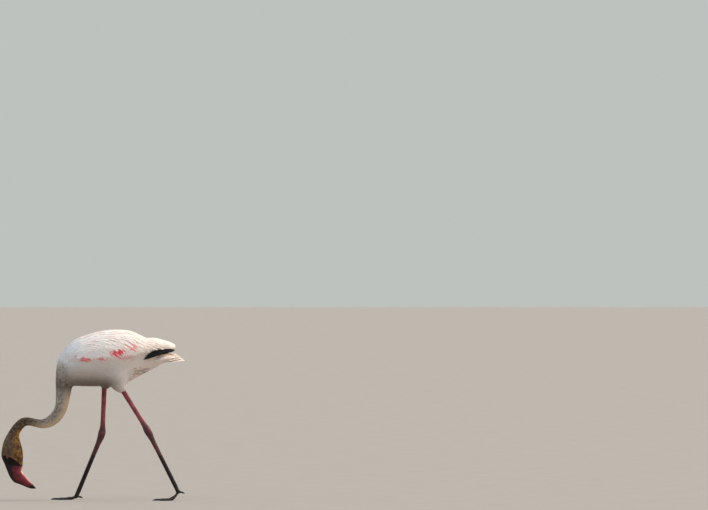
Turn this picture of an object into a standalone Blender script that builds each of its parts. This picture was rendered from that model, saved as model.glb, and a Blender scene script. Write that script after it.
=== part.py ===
"""Lesser flamingo, life size, in mid stride with its bill held just above the ground.

Metres, +Z up, the soles on z = 0. The bird walks towards -X and its right side is +Y.
Every named part is one closed solid out to the tips of its feathers, and parts that
meet keep a gap of 0.3 mm. The trunk, neck, head and bill are one row of oval sections
in the bird's middle plane, parted by flat cuts. The legs are rows of ovals square to
their bones.
"""

import math

import bmesh
import bpy
from mathutils import Matrix, Vector

# ---------------------------------------------------------------- driving sizes
GAP = 0.0003                 # clearance between parts that meet
TARSUS = 0.1985              # ankle to the root of the toes
LEG_SPREAD = 0.035           # each leg's distance from the middle plane
FOOT_SPREAD = 0.040
FOOT_TURN_OUT = 5.0          # degrees
MIDDLE_TOE = 0.066
INNER_TOE, OUTER_TOE = 0.0525, 0.056
SIDE_TOE_ANGLE = 27.0        # degrees from the middle toe
HIND_TOE, HIND_TOE_RADIUS = 0.015, 0.0026
TOE_ROOT_RADIUS, TOE_TIP_RADIUS = 0.0045, 0.0026
CLAW = 0.0080
WEB_THICK = 0.0014
WEB_REACH, WEB_HOLLOW = 0.93, 0.30   # share of the toes that the web joins, and how far its edge draws back
EYE_RADIUS = 0.0056
EYE_PLACE = Vector((-0.2476, 0.0, 0.1246))
EYE_SPREAD = 0.0130          # centre of each eyeball from the middle plane

# The trunk, as (back x, z), (belly x, z), half width. The first section is the neck's
# root, and those after it fan round the fold in front of the belly.
TRUNK = [
    ((-0.1088, 0.3180), (-0.0634, 0.3180), 0.0215),
    ((-0.1096, 0.3480), (-0.0606, 0.3272), 0.0290),
    ((-0.1066, 0.3890), (-0.0575, 0.3298), 0.0410),
    ((-0.0940, 0.4265), (-0.0515, 0.3304), 0.0520),
    ((-0.0620, 0.4560), (-0.0380, 0.3302), 0.0600),
    ((-0.0180, 0.4720), (-0.0110, 0.3296), 0.0630),
    ((0.0350, 0.4820), (0.0250, 0.3300), 0.0630),
    ((0.0850, 0.4820), (0.0640, 0.3345), 0.0590),
    ((0.1250, 0.4690), (0.1010, 0.3420), 0.0500),
    ((0.1560, 0.4540), (0.1390, 0.3625), 0.0390),
    ((0.1800, 0.4390), (0.1690, 0.3780), 0.0285),
    ((0.1960, 0.4240), (0.1880, 0.3875), 0.0170),
    ((0.2030, 0.4110), (0.1985, 0.3990), 0.0060),
]

# The neck's middle line from its root to the nape, as x, z, radius.
NECK = [
    (-0.0861, 0.3180, 0.0228),
    (-0.0880, 0.2990, 0.0212),
    (-0.0905, 0.2790, 0.0194),
    (-0.0980, 0.2560, 0.0182),
    (-0.1155, 0.2345, 0.0172),
    (-0.1404, 0.2222, 0.0145),
    (-0.1580, 0.2223, 0.0126),
    (-0.1757, 0.2259, 0.0119),
    (-0.1905, 0.2284, 0.0127),
    (-0.2040, 0.2255, 0.0135),
    (-0.2155, 0.2155, 0.0142),
    (-0.2262, 0.2010, 0.0152),
]
NECK_LENGTHS = [("neck_base", 0, 2), ("neck_lower", 2, 4), ("neck_middle", 4, 8), ("neck_upper", 8, 11)]

# The head hangs crown forward, as (crown x, z), (throat x, z), half width.
HEAD = [
    ((-0.2384, 0.2101), (-0.2140, 0.1919), 0.0146),
    ((-0.2510, 0.1890), (-0.2138, 0.1800), 0.0158),
    ((-0.2596, 0.1720), (-0.2110, 0.1685), 0.0172),
    ((-0.2642, 0.1545), (-0.2066, 0.1540), 0.0184),
    ((-0.2670, 0.1370), (-0.2033, 0.1385), 0.0190),
    ((-0.2664, 0.1245), (-0.2028, 0.1225), 0.0182),
    ((-0.2618, 0.1130), (-0.2036, 0.1090), 0.0162),
    ((-0.2561, 0.1015), (-0.2044, 0.0965), 0.0142),
]

# The bill, as (ridge x, z), (keel x, z), half width, share of the depth above the mouth.
BILL = [
    ((-0.2559, 0.1012), (-0.2045, 0.0962), 0.0140, 0.40),
    ((-0.2506, 0.0876), (-0.2070, 0.0868), 0.0138, 0.37),
    ((-0.2451, 0.0742), (-0.2037, 0.0790), 0.0138, 0.34),
    ((-0.2384, 0.0618), (-0.1977, 0.0718), 0.0134, 0.32),
    ((-0.2290, 0.0518), (-0.1917, 0.0652), 0.0126, 0.31),
    ((-0.2165, 0.0470), (-0.1865, 0.0585), 0.0112, 0.31),
    ((-0.2039, 0.0421), (-0.1815, 0.0532), 0.0096, 0.33),
    ((-0.1929, 0.0374), (-0.1763, 0.0486), 0.0078, 0.36),
    ((-0.1810, 0.0336), (-0.1712, 0.0422), 0.0052, 0.42),
    ((-0.1676, 0.0331), (-0.1660, 0.0356), 0.0018, 0.50),
]

# A folded wing, as x, lower edge, widest height, upper edge, half width about its own middle line.
WING_MIDDLE = 0.0065
WING = [
    (-0.0920, 0.4020, 0.4120, 0.4260, 0.0260),
    (-0.0750, 0.3940, 0.4110, 0.4480, 0.0450),
    (-0.0450, 0.3890, 0.4110, 0.4705, 0.0610),
    (0.0000, 0.3860, 0.4120, 0.4860, 0.0675),
    (0.0350, 0.3860, 0.4130, 0.4935, 0.0680),
    (0.0700, 0.3885, 0.4150, 0.4953, 0.0655),
    (0.1050, 0.3965, 0.4200, 0.4922, 0.0590),
    (0.1320, 0.4050, 0.4270, 0.4815, 0.0505),
    (0.1570, 0.4150, 0.4340, 0.4692, 0.0420),
    (0.1800, 0.4290, 0.4410, 0.4678, 0.0345),
    (0.2050, 0.4340, 0.4430, 0.4612, 0.0270),
    (0.2250, 0.4355, 0.4425, 0.4545, 0.0190),
    (0.2370, 0.4380, 0.4425, 0.4470, 0.0070),
]

# The closed fan of black flight feathers under each wing's edge, as x, lower z, upper z, y.
FLIGHT_THICK = 0.0048
FLIGHT = [
    (0.1480, 0.4075, 0.4110, 0.0465),
    (0.1662, 0.4120, 0.4260, 0.0435),
    (0.1800, 0.4195, 0.4380, 0.0400),
    (0.1890, 0.4252, 0.4390, 0.0370),
    (0.2050, 0.4265, 0.4390, 0.0315),
    (0.2230, 0.4268, 0.4380, 0.0240),
    (0.2345, 0.4305, 0.4355, 0.0175),
]

# The tail and the soft feathers under it, as x, lower z, upper z, half width.
TAIL = [
    (0.1600, 0.3920, 0.4150, 0.0240),
    (0.1800, 0.3925, 0.4225, 0.0300),
    (0.2000, 0.3962, 0.4254, 0.0315),
    (0.2181, 0.3988, 0.4262, 0.0300),
    (0.2372, 0.4035, 0.4248, 0.0265),
    (0.2500, 0.4052, 0.4200, 0.0210),
    (0.2610, 0.4045, 0.4118, 0.0125),
    (0.2672, 0.4035, 0.4060, 0.0040),
]

# A leg's sections, as share of the length, half depth, half width.
THIGH = [(0.0, 0.0060, 0.0050), (0.12, 0.0215, 0.0150), (0.38, 0.0265, 0.0205), (0.62, 0.0235, 0.0185),
         (0.82, 0.0180, 0.0150), (0.94, 0.0130, 0.0115), (1.0, 0.0085, 0.0078)]
SHANK = [(0.0, 0.0062, 0.0056), (0.15, 0.0058, 0.0052), (0.75, 0.0054, 0.0048),
         (0.90, 0.0068, 0.0062), (1.0, 0.0092, 0.0078)]
ANKLE = (0.0094, 0.0080)
SHIN = [(0.04, 0.0090, 0.0078), (0.09, 0.0077, 0.0066), (0.16, 0.0058, 0.0051),
        (0.35, 0.0050, 0.0043), (0.75, 0.0048, 0.0042), (0.93, 0.0058, 0.0054)]

TRUNK_SIDES, NECK_SIDES, BILL_SIDES, WING_SIDES, LEG_SIDES, TOE_SIDES = 20, 16, 8, 20, 10, 8
TOE_STEPS = 8
ACROSS = Vector((0.0, 1.0, 0.0))
UP = Vector((0.0, 0.0, 1.0))

COLOURS = {                  # colour, roughness
    "plumage": ((0.86, 0.78, 0.74), 0.85),
    "wing_feather": ((0.88, 0.76, 0.73), 0.80),
    "stained_plumage": ((0.36, 0.28, 0.20), 0.90),
    "flight_feather": ((0.02, 0.02, 0.022), 0.55),
    "leg_skin": ((0.38, 0.09, 0.11), 0.50),
    "foot_skin": ((0.05, 0.04, 0.045), 0.60),
    "bill_horn": ((0.20, 0.03, 0.045), 0.35),
    "claw_horn": ((0.03, 0.025, 0.025), 0.40),
    "eye": ((0.75, 0.14, 0.03), 0.08),
}


# ---------------------------------------------------------------- tools
def clear_scene():
    for obj in list(bpy.data.objects):
        bpy.data.objects.remove(obj)


def collection(name):
    made = bpy.data.collections.new(name)
    bpy.context.scene.collection.children.link(made)
    return made


def material(name):
    if name in bpy.data.materials:
        return bpy.data.materials[name]
    colour, roughness = COLOURS[name]
    made = bpy.data.materials.new(name)
    made.use_nodes = True
    shader = made.node_tree.nodes["Principled BSDF"]
    shader.inputs["Base Color"].default_value = (*colour, 1.0)
    shader.inputs["Roughness"].default_value = roughness
    return made


def flat(station):
    """A station's numbers in one row, so that they can be interpolated together."""
    row = []
    for item in station:
        row.extend(item if isinstance(item, tuple) else (item,))
    return row


def smooth(stations, at):
    """The row of numbers at a fractional place in a list of stations, on a curve through them all."""
    rows = [flat(s) for s in stations]
    last = len(rows) - 1
    i = min(max(int(math.floor(at)), 0), last - 1)
    t = at - i
    before, after = max(i - 1, 0), min(i + 2, last)
    result = []
    for k in range(len(rows[0])):
        a, b, c, d = (rows[j][k] for j in (before, i, i + 1, after))
        result.append(
            b + 0.5 * t * (c - a + t * (2 * a - 5 * b + 4 * c - d + t * (3 * (b - c) + d - a)))
        )
    return result


def spread(first, last, count):
    return [first + (last - first) * k / (count - 1) for k in range(count)]


def oval(centre, deep, wide, sides, egg=0.0):
    """A closed oval about its centre. Egg widens the end that deep points to."""
    points = []
    for k in range(sides):
        a = 2 * math.pi * k / sides
        points.append(centre + deep * math.cos(a) + wide * (math.sin(a) * (1 + egg * math.cos(a))))
    return points


def link(name, mesh, finish, where):
    obj = bpy.data.objects.new(name, mesh)
    where.objects.link(obj)
    if finish:
        mesh.materials.append(material(finish))
    mesh.shade_smooth()
    mesh.set_sharp_from_angle(angle=math.radians(40))
    return obj


def loft(name, rings, finish, where):
    """A closed solid through rings with the same number of points, and flat at both ends."""
    shape = bmesh.new()
    made = [[shape.verts.new(p) for p in ring] for ring in rings]
    count = len(made[0])
    for one, two in zip(made, made[1:]):
        for k in range(count):
            n = (k + 1) % count
            shape.faces.new((one[k], one[n], two[n], two[k]))
    shape.faces.new(made[0])
    shape.faces.new(made[-1])
    bmesh.ops.recalc_face_normals(shape, faces=shape.faces)
    mesh = bpy.data.meshes.new(name)
    shape.to_mesh(mesh)
    shape.free()
    return link(name, mesh, finish, where)


def helper(obj):
    obj.hide_render = True
    obj.display_type = "WIRE"
    return obj


def boolean(obj, other, operation):
    step = obj.modifiers.new(operation.lower() + "_" + other.name, "BOOLEAN")
    step.operation = operation
    step.object = other
    step.solver = "EXACT"


# ---------------------------------------------------------------- trunk, neck, head, bill
def middle_ring(row, sides, grow=0.0, egg=0.0):
    """An oval in the bird's middle plane from a row of back x, z, belly x, z and half width."""
    back, belly = Vector((row[0], 0, row[1])), Vector((row[2], 0, row[3]))
    deep = (back - belly) / 2
    deep += deep.normalized() * grow
    return oval((back + belly) / 2, deep, ACROSS * (row[4] + grow), sides, egg)


def make_trunk(name, where, grow=0.0):
    places = spread(0, len(TRUNK) - 1, 25)
    rings = [middle_ring(smooth(TRUNK, at), TRUNK_SIDES, grow, 0.05) for at in places]
    return loft(name, rings, "plumage", where)


def neck_way(at):
    """Which way the neck's middle line runs, from the trunk towards the head."""
    ahead, behind = smooth(NECK, min(at + 0.05, len(NECK) - 1)), smooth(NECK, max(at - 0.05, 0))
    return Vector((ahead[0] - behind[0], 0, ahead[1] - behind[1])).normalized()


def neck_ring(at, shift=0.0):
    x, z, radius = smooth(NECK, at)
    along = neck_way(at)
    return oval(Vector((x, 0, z)) + along * shift, ACROSS.cross(along) * radius,
                ACROSS * radius * 0.96, NECK_SIDES)


def make_neck(where):
    root = [p - Vector((0, 0, GAP)) for p in middle_ring(smooth(TRUNK, 0), NECK_SIDES)]
    for name, first, last in NECK_LENGTHS:
        places = spread(first, last, 3 * (last - first) + 1)
        start = neck_ring(first, GAP) if first else root
        loft(name, [start] + [neck_ring(at) for at in places[1:]],
             "stained_plumage" if first > 2 else "plumage", where)


def make_head(where, helpers):
    nape = neck_ring(len(NECK) - 1, GAP)
    rings = [middle_ring(smooth(HEAD, at), NECK_SIDES) for at in spread(0, len(HEAD) - 1, 15)]
    head = loft("head", [nape] + rings[1:], "stained_plumage", where)
    for side, name in ((-1, "left"), (1, "right")):
        place = EYE_PLACE + ACROSS * side * EYE_SPREAD
        socket = make_ball("socket_" + name, place, EYE_RADIUS + GAP, None, helpers)
        boolean(head, helper(socket), "DIFFERENCE")
        make_ball("eye_" + name, place, EYE_RADIUS, "eye", where)


def make_ball(name, place, radius, finish, where):
    shape = bmesh.new()
    bmesh.ops.create_uvsphere(shape, u_segments=12, v_segments=8, radius=radius)
    mesh = bpy.data.meshes.new(name)
    shape.to_mesh(mesh)
    shape.free()
    obj = link(name, mesh, finish, where)
    obj.location = place
    obj.rotation_euler = (math.pi / 2, 0, 0)
    return obj


def bill_ring(row, upper):
    """The part of a bill section on one side of the mouth, closed by a flat along the mouth."""
    ridge, keel = Vector((row[0], 0, row[1])), Vector((row[2], 0, row[3]))
    centre, deep, half_width, share = (ridge + keel) / 2, (ridge - keel) / 2, row[4], row[5]
    mouth = math.acos(1 - 2 * share)
    slack = GAP / 2 / (deep.length * max(math.sin(mouth), 0.3))
    first, last = (-mouth + slack, mouth - slack) if upper else (mouth + slack, 2 * math.pi - mouth - slack)
    if upper:
        half_width *= 0.94
    return [
        centre + deep * math.cos(a) + ACROSS * half_width * math.sin(a)
        for a in spread(first, last, BILL_SIDES if upper else BILL_SIDES + 4)
    ]


def make_bill(where):
    places = spread(0, len(BILL) - 1, 19)
    for name, upper in (("bill_upper", True), ("bill_lower", False)):
        loft(name, [bill_ring(smooth(BILL, at), upper) for at in places], "bill_horn", where)


# ---------------------------------------------------------------- wings, flight feathers, tail
def upright_oval(x, low, widest, high, middle, half_width, sides):
    """An oval across the bird whose upper and lower halves may differ in height."""
    points = []
    for k in range(sides):
        a = 2 * math.pi * k / sides
        height = high - widest if math.cos(a) > 0 else widest - low
        points.append(Vector((x, middle + half_width * math.sin(a), widest + height * math.cos(a))))
    return points


def wing_rings(side, grow=0.0):
    rings = []
    for at in spread(0, len(WING) - 1, 23):
        x, low, widest, high, half_width = smooth(WING, at)
        rings.append(upright_oval(x, low - grow, widest, high + grow, side * WING_MIDDLE,
                                  half_width + grow, WING_SIDES))
    return rings


def make_wing(name, side, where, helpers, trunk_room):
    """A folded wing over the trunk, cut off at the middle of the back. Returns the room that it takes."""
    wing = loft("wing_" + name, wing_rings(side), "wing_feather", where)
    far_side = make_box("far_side_" + name, (-0.15, -side * 0.2, 0.3), (0.30, side * GAP / 2, 0.55), helpers)
    slot = make_flight(name, side, where, helpers, trunk_room)
    for cutter in (far_side, trunk_room, slot):
        boolean(wing, cutter, "DIFFERENCE")
    return helper(loft("wing_room_" + name, wing_rings(side, GAP), None, helpers))


def flight_rings(side, grow=0.0):
    rings = []
    for at in spread(0, len(FLIGHT) - 1, 10):
        x, low, high, y = smooth(FLIGHT, at)
        rings.append(upright_oval(x, low - grow, (low + high) / 2, high + grow, side * y,
                                  FLIGHT_THICK / 2 + grow, 8))
    return rings


def make_flight(name, side, where, helpers, trunk_room):
    """The black feathers, and the slot that they need in the wing above them."""
    flight = loft("flight_feathers_" + name, flight_rings(side), "flight_feather", where)
    boolean(flight, trunk_room, "DIFFERENCE")
    rings = flight_rings(side, GAP)
    first = [p - Vector((GAP, 0, 0)) for p in rings[0]]
    last = [p + Vector((GAP, 0, 0)) for p in rings[-1]]
    return helper(loft("flight_room_" + name, [first, *rings, last], None, helpers))


def make_box(name, low, high, where):
    shape = bmesh.new()
    bmesh.ops.create_cube(shape, size=1.0)
    mesh = bpy.data.meshes.new(name)
    shape.to_mesh(mesh)
    shape.free()
    box = helper(link(name, mesh, None, where))
    box.location = [(a + b) / 2 for a, b in zip(low, high)]
    box.scale = [abs(b - a) for a, b in zip(low, high)]
    return box


def make_tail(where, cutters):
    rings = []
    for at in spread(0, len(TAIL) - 1, 12):
        x, low, high, half_width = smooth(TAIL, at)
        rings.append(upright_oval(x, low, low + (high - low) * 0.42, high, 0, half_width, 16))
    tail = loft("tail", rings, "plumage", where)
    for cutter in cutters:
        boolean(tail, cutter, "DIFFERENCE")


# ---------------------------------------------------------------- legs and feet
def leg_ring(centre, along, deep, wide, sides=LEG_SIDES):
    """An oval square to the way a limb runs, deep fore and aft."""
    fore = along.cross(ACROSS).normalized()
    return oval(centre, fore * deep, fore.cross(along).normalized() * wide, sides)


def leg_rings(start, end, sections, count, sides=LEG_SIDES):
    """Ovals along a straight bone, from sections given as share of its length and half sizes."""
    rows = [smooth(sections, at) for at in spread(0, len(sections) - 1, count)]
    along = (end - start).normalized()
    return [leg_ring(start.lerp(end, share), along, deep, wide, sides) for share, deep, wide in rows]


def make_leg(name, side, knee, cuff, ankle, heel_height, stride, where, helpers, rooms):
    """One leg. Stride is -1 where the toes are set down ahead of the ankle, and 1 behind it."""
    y = side * LEG_SPREAD
    knee, cuff, ankle = (Vector((x, y, z)) for x, z in (knee, cuff, ankle))
    reach = math.sqrt(TARSUS ** 2 - (ankle.z - heel_height) ** 2)
    root = Vector((ankle.x + stride * reach, side * FOOT_SPREAD, heel_height))
    thigh_way, shank_way, shin_way = ((b - a).normalized() for a, b in
                                      ((knee, cuff), (cuff, ankle), (ankle, root)))
    thigh = loft("thigh_" + name, leg_rings(knee, cuff, THIGH, 13, 14), "plumage", where)
    for room in rooms:
        boolean(thigh, room, "DIFFERENCE")
    shank = leg_rings(cuff, ankle, SHANK, 9)
    shank[0] = leg_ring(cuff + thigh_way * GAP, thigh_way, *SHANK[0][1:])
    fold = (shank_way + shin_way).normalized()
    shank[-1] = leg_ring(ankle - fold * GAP, fold, *ANKLE)
    loft("shank_" + name, shank, "leg_skin", where)
    joint = leg_ring(ankle, fold, *ANKLE)
    loft("shin_" + name, [joint] + leg_rings(ankle, root, SHIN, 11), "leg_skin", where)
    make_foot(name, side, root, shin_way, where, helpers)


def toe_path(root, way, length):
    """Points along a toe's middle: down from the raised root to the ground, then flat to the tip."""
    points = []
    for k in range(TOE_STEPS + 1):
        t = k / TOE_STEPS
        radius = TOE_ROOT_RADIUS + (TOE_TIP_RADIUS - TOE_ROOT_RADIUS) * t
        radius -= 0.0003 * (1 - math.cos(6 * math.pi * t))
        height = radius * 0.86 + max(root.z - TOE_ROOT_RADIUS, 0) * max(1 - t / 0.42, 0) ** 1.7
        points.append((Vector((root.x, root.y, height)) + way * (length * t), radius))
    return points


def make_toe(name, path, way, where):
    rings = [oval(centre, UP * radius, way.cross(UP) * radius * 1.1, TOE_SIDES) for centre, radius in path]
    return helper(loft(name, rings, "foot_skin", where))


def make_foot(name, side, root, shin_way, where, helpers):
    """Three webbed toes and a short raised hind toe in one piece, with a claw on each."""
    ahead = turned(Vector((-1, 0, 0)), -side * FOOT_TURN_OUT)
    foot = make_hub(name, root, shin_way, ahead, where)
    paths = {}
    for toe, angle, length in (("inner", side * SIDE_TOE_ANGLE, INNER_TOE), ("middle", 0, MIDDLE_TOE),
                               ("outer", -side * SIDE_TOE_ANGLE, OUTER_TOE)):
        way = turned(ahead, angle)
        paths[toe] = toe_path(root, way, length)
        boolean(foot, make_toe(f"toe_{toe}_{name}", paths[toe], way, helpers), "UNION")
        make_claw(f"claw_{toe}_{name}", paths[toe][-1][0], way, where, TOE_TIP_RADIUS * 0.9, CLAW)
    boolean(foot, make_web("web_" + name, paths, helpers), "UNION")
    back = (turned(ahead, 180 + side * 20) - UP * 0.25).normalized()
    boolean(foot, make_hind_toe(name, root + UP * 0.001, back, where, helpers), "UNION")
    low, high = Vector((root.x - 0.1, root.y - 0.1, -0.02)), Vector((root.x + 0.1, root.y + 0.1, 0))
    boolean(foot, make_box("ground_" + name, low, high, helpers), "DIFFERENCE")


def make_hub(name, root, shin_way, ahead, where):
    """The joint between the shin and the toes, narrowing to the ball of the foot."""
    top = root - shin_way * (TARSUS * (1 - SHIN[-1][0]) - GAP)
    rings = [leg_ring(top, shin_way, *SHIN[-1][1:]),
             leg_ring(root - shin_way * 0.006, shin_way, 0.0062, 0.0060),
             leg_ring(root, (shin_way - UP).normalized(), 0.0064, 0.0066),
             leg_ring(root - UP * 0.0045 + ahead * 0.001, -UP, 0.0046, 0.0050)]
    return loft("foot_" + name, rings, "foot_skin", where)


def make_hind_toe(name, start, way, where, helpers):
    rings = [leg_ring(start + way * (HIND_TOE * t), way, HIND_TOE_RADIUS * (1.2 - 0.3 * t),
                      HIND_TOE_RADIUS * (1.2 - 0.3 * t), TOE_SIDES) for t in (0.0, 0.5, 1.0)]
    make_claw("claw_hind_" + name, start + way * HIND_TOE, way, where, HIND_TOE_RADIUS * 0.8, CLAW * 0.7)
    return helper(loft("hind_toe_" + name, rings, "foot_skin", helpers))


def turned(way, degrees):
    """A direction turned about the vertical."""
    return Matrix.Rotation(math.radians(degrees), 3, "Z") @ way


def make_claw(name, tip, way, where, radius, length):
    """A blunt claw that starts a gap beyond the toe's end and droops towards its point."""
    across = way.cross(UP).normalized()
    up = across.cross(way).normalized()
    rings = []
    for t in (0.0, 0.35, 0.7, 1.0):
        r = radius * (1 - 0.72 * t ** 1.6)
        centre = tip + way * (GAP + length * t) - up * (0.45 * radius * t * t)
        rings.append(oval(centre, up * r, across * r * 0.9, TOE_SIDES))
    lowest = min(p.z for ring in rings for p in ring)
    lift = UP * max(0.0001 - lowest, 0)
    return loft(name, [[p + lift for p in ring] for ring in rings], "claw_horn", where)


def make_web(name, toes, where):
    """A thin sheet from toe to toe that follows their rise, with a hollow front edge."""
    rows = []
    for one, two in (("inner", "middle"), ("middle", "outer")):
        for across in (0.0, 0.25, 0.5, 0.75):
            reach = WEB_REACH * (1 - WEB_HOLLOW * 4 * across * (1 - across))
            rows.append([between(toes[one], toes[two], across, reach * k / TOE_STEPS)
                         for k in range(1, TOE_STEPS + 1)])
    rows.append([between(toes["outer"], toes["outer"], 0.0, WEB_REACH * k / TOE_STEPS)
                 for k in range(1, TOE_STEPS + 1)])
    shape = bmesh.new()
    grid = [[shape.verts.new(p) for p in row] for row in rows]
    for one, two in zip(grid, grid[1:]):
        for k in range(TOE_STEPS - 1):
            shape.faces.new((one[k], two[k], two[k + 1], one[k + 1]))
    bmesh.ops.recalc_face_normals(shape, faces=shape.faces)
    mesh = bpy.data.meshes.new(name)
    shape.to_mesh(mesh)
    shape.free()
    web = helper(link(name, mesh, "foot_skin", where))
    thick = web.modifiers.new("thickness", "SOLIDIFY")
    thick.thickness, thick.offset = WEB_THICK, 0.0
    return web


def between(one, two, across, share):
    """A point just under the line between two toes, that share of the way along them."""
    at = share * TOE_STEPS
    i = min(int(at), TOE_STEPS - 1)
    a, b = (path[i][0].lerp(path[i + 1][0], at - i) for path in (one, two))
    return a.lerp(b, across) - UP * (0.35 * TOE_TIP_RADIUS)


# ---------------------------------------------------------------- the bird
def build():
    clear_scene()
    bird, helpers = collection("lesser_flamingo"), collection("cutters")
    make_trunk("trunk", bird)
    trunk_room = helper(make_trunk("trunk_room", helpers, GAP * 1.3))
    make_neck(bird)
    make_head(bird, helpers)
    make_bill(bird)
    rooms = {name: make_wing(name, side, bird, helpers, trunk_room)
             for name, side in (("left", -1), ("right", 1))}
    flight_rooms = [bpy.data.objects["flight_room_" + name] for name in rooms]
    make_tail(bird, [trunk_room, *rooms.values(), *flight_rooms])
    make_leg("left", -1, (0.0540, 0.3730), (0.0885, 0.3150), (0.1583, 0.2030), 0.0255, 1,
             bird, helpers, (trunk_room, rooms["left"]))
    make_leg("right", 1, (0.0440, 0.3790), (0.0305, 0.3230), (0.0252, 0.1935), 0.0100, -1,
             bird, helpers, (trunk_room, rooms["right"]))


build()
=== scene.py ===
"""A lesser flamingo, life size, in mid stride with its bill held just above the ground.

Metres, +Z up, the soles on z = 0. The bird walks towards -X and its right side is +Y.
Each section below makes one piece, or one group of like pieces, in the order in which a
model maker would put the bird together: body, eyes, bill, legs, feet, then the plumage.
"""

import math

import bmesh
import bpy
import numpy as np
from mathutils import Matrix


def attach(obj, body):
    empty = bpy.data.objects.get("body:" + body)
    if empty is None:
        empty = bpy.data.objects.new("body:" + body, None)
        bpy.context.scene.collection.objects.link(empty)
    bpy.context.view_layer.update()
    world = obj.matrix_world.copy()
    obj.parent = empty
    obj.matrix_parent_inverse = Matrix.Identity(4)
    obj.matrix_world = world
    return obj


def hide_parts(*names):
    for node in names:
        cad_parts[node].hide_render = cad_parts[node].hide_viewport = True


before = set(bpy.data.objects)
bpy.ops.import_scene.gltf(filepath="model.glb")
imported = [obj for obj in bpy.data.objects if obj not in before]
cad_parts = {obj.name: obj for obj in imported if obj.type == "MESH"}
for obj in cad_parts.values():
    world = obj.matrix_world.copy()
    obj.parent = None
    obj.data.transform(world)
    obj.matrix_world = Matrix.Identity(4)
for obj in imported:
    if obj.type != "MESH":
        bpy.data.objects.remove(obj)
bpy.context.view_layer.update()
scene = bpy.context.scene


# ---------------------------------------------------------------- the studio
# A pale matt floor that runs out to the horizon, a warm soft sun high behind the tail with a
# low one beside it, a cool one ahead of the breast, and a long lens far off at hip height.
class Wire:
    """One output of a node. Arithmetic on it adds Math nodes to the same tree."""

    def __init__(self, maker, node, socket):
        self.maker, self.node, self.socket = maker, node, socket

    def out(self, name):
        """Another output of the same node."""
        return Wire(self.maker, self.node, self.node.outputs[name])

    def __add__(self, other):
        return self.maker.math("ADD", self, other)

    def __sub__(self, other):
        return self.maker.math("SUBTRACT", self, other)

    def __rsub__(self, other):
        return self.maker.math("SUBTRACT", other, self)

    def __mul__(self, other):
        return self.maker.math("MULTIPLY", self, other)

    def __truediv__(self, other):
        return self.maker.math("DIVIDE", self, other)

    def __rtruediv__(self, other):
        return self.maker.math("DIVIDE", other, self)

    def __pow__(self, other):
        return self.maker.math("POWER", self, other)

    def __abs__(self):
        return self.maker.math("ABSOLUTE", self)

    __radd__ = __add__
    __rmul__ = __mul__


class Maker:
    """Builds a node tree. add() makes a node, gives it its settings, then feeds its sockets."""

    def __init__(self, tree):
        self.tree = tree

    def add(self, kind, settings=None, inputs=None, output=0):
        node = self.tree.nodes.new(kind)
        for name, value in (settings or {}).items():
            setattr(node, name, value)
        for key, value in (inputs or {}).items():
            self.feed(node.inputs[key], value)
        return Wire(self, node, node.outputs[output])

    def feed(self, socket, value):
        if isinstance(value, Wire):
            self.tree.links.new(value.socket, socket)
        else:
            socket.default_value = value

    def show(self, **looks):
        """Feeds the shader of a finish."""
        sockets = self.tree.nodes["Principled BSDF"].inputs
        for name, value in looks.items():
            self.feed(sockets[name.replace("_", " ")], value)

    def math(self, operation, *values):
        return self.add("ShaderNodeMath", {"operation": operation}, dict(enumerate(values)))

    def step(self, value, low, high):
        """0 below low, 1 above high, with a soft turn between. High may be the smaller one."""
        return self.add("ShaderNodeMapRange", {"interpolation_type": "SMOOTHSTEP"},
                        {"Value": value, "From Min": low, "From Max": high})

    def noise(self, where, scale, detail=3, roughness=0.55):
        return self.add("ShaderNodeTexNoise", {}, {"Vector": where, "Scale": scale, "Detail": detail,
                                                   "Roughness": roughness})

    def scales(self, where, scale, randomness):
        """The distance to the nearest border between the scales of a skin."""
        return self.add("ShaderNodeTexVoronoi", {"feature": "DISTANCE_TO_EDGE"},
                        {"Vector": where, "Scale": scale, "Randomness": randomness}, output="Distance")

    def mix(self, share, first, second):
        """A colour between two others."""
        return self.add("ShaderNodeMix", {"data_type": "RGBA"}, {0: share, 6: first, 7: second}, output=2)

    def mottle(self, value, low, high, first, second):
        """A colour that turns from the first to the second as a value rises from low to high."""
        return self.mix(self.step(value, low, high), first, second)

    def place(self):
        """Where a spot of the piece is, in metres."""
        return self.add("ShaderNodeTexCoord", output="Object")

    def stored(self, name, output="Fac"):
        """A value that the mesh keeps at its points."""
        return self.add("ShaderNodeAttribute", {"attribute_name": name}, output=output)

    def vector(self, *parts):
        return self.add("ShaderNodeCombineXYZ", {}, dict(enumerate(parts)))

    def parts(self, vector):
        """A vector's x, y and z."""
        split = self.add("ShaderNodeSeparateXYZ", {}, {"Vector": vector})
        return split, split.out("Y"), split.out("Z")

    def relief(self, height, depth, strength=1.0):
        return self.add("ShaderNodeBump", {}, {"Height": height, "Distance": depth, "Strength": strength})


def rgb(red, green, blue):
    """A colour as a paint card gives it, 0 to 255, in the linear values that a shader takes."""
    shares = [c / 255 for c in (red, green, blue)]
    return tuple(c / 12.92 if c <= 0.04045 else ((c + 0.055) / 1.055) ** 2.4 for c in shares) + (1.0,)


def new_finish(name, **fixed):
    """A new material, with the fixed values of its shader, and the maker of its nodes."""
    material = bpy.data.materials.new(name)
    material.use_nodes = True
    make = Maker(material.node_tree)
    make.show(**fixed)
    return material, make


def placed(name, data):
    """A new object in the scene."""
    made = bpy.data.objects.new(name, data)
    scene.collection.objects.link(made)
    return made


def mesh_object(name, points, faces):
    """A new smooth object from its points and faces."""
    mesh = bpy.data.meshes.new(name)
    mesh.from_pydata([tuple(p) for p in points], [], [tuple(f) for f in faces])
    mesh.shade_smooth()
    return placed(name, mesh)


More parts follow.
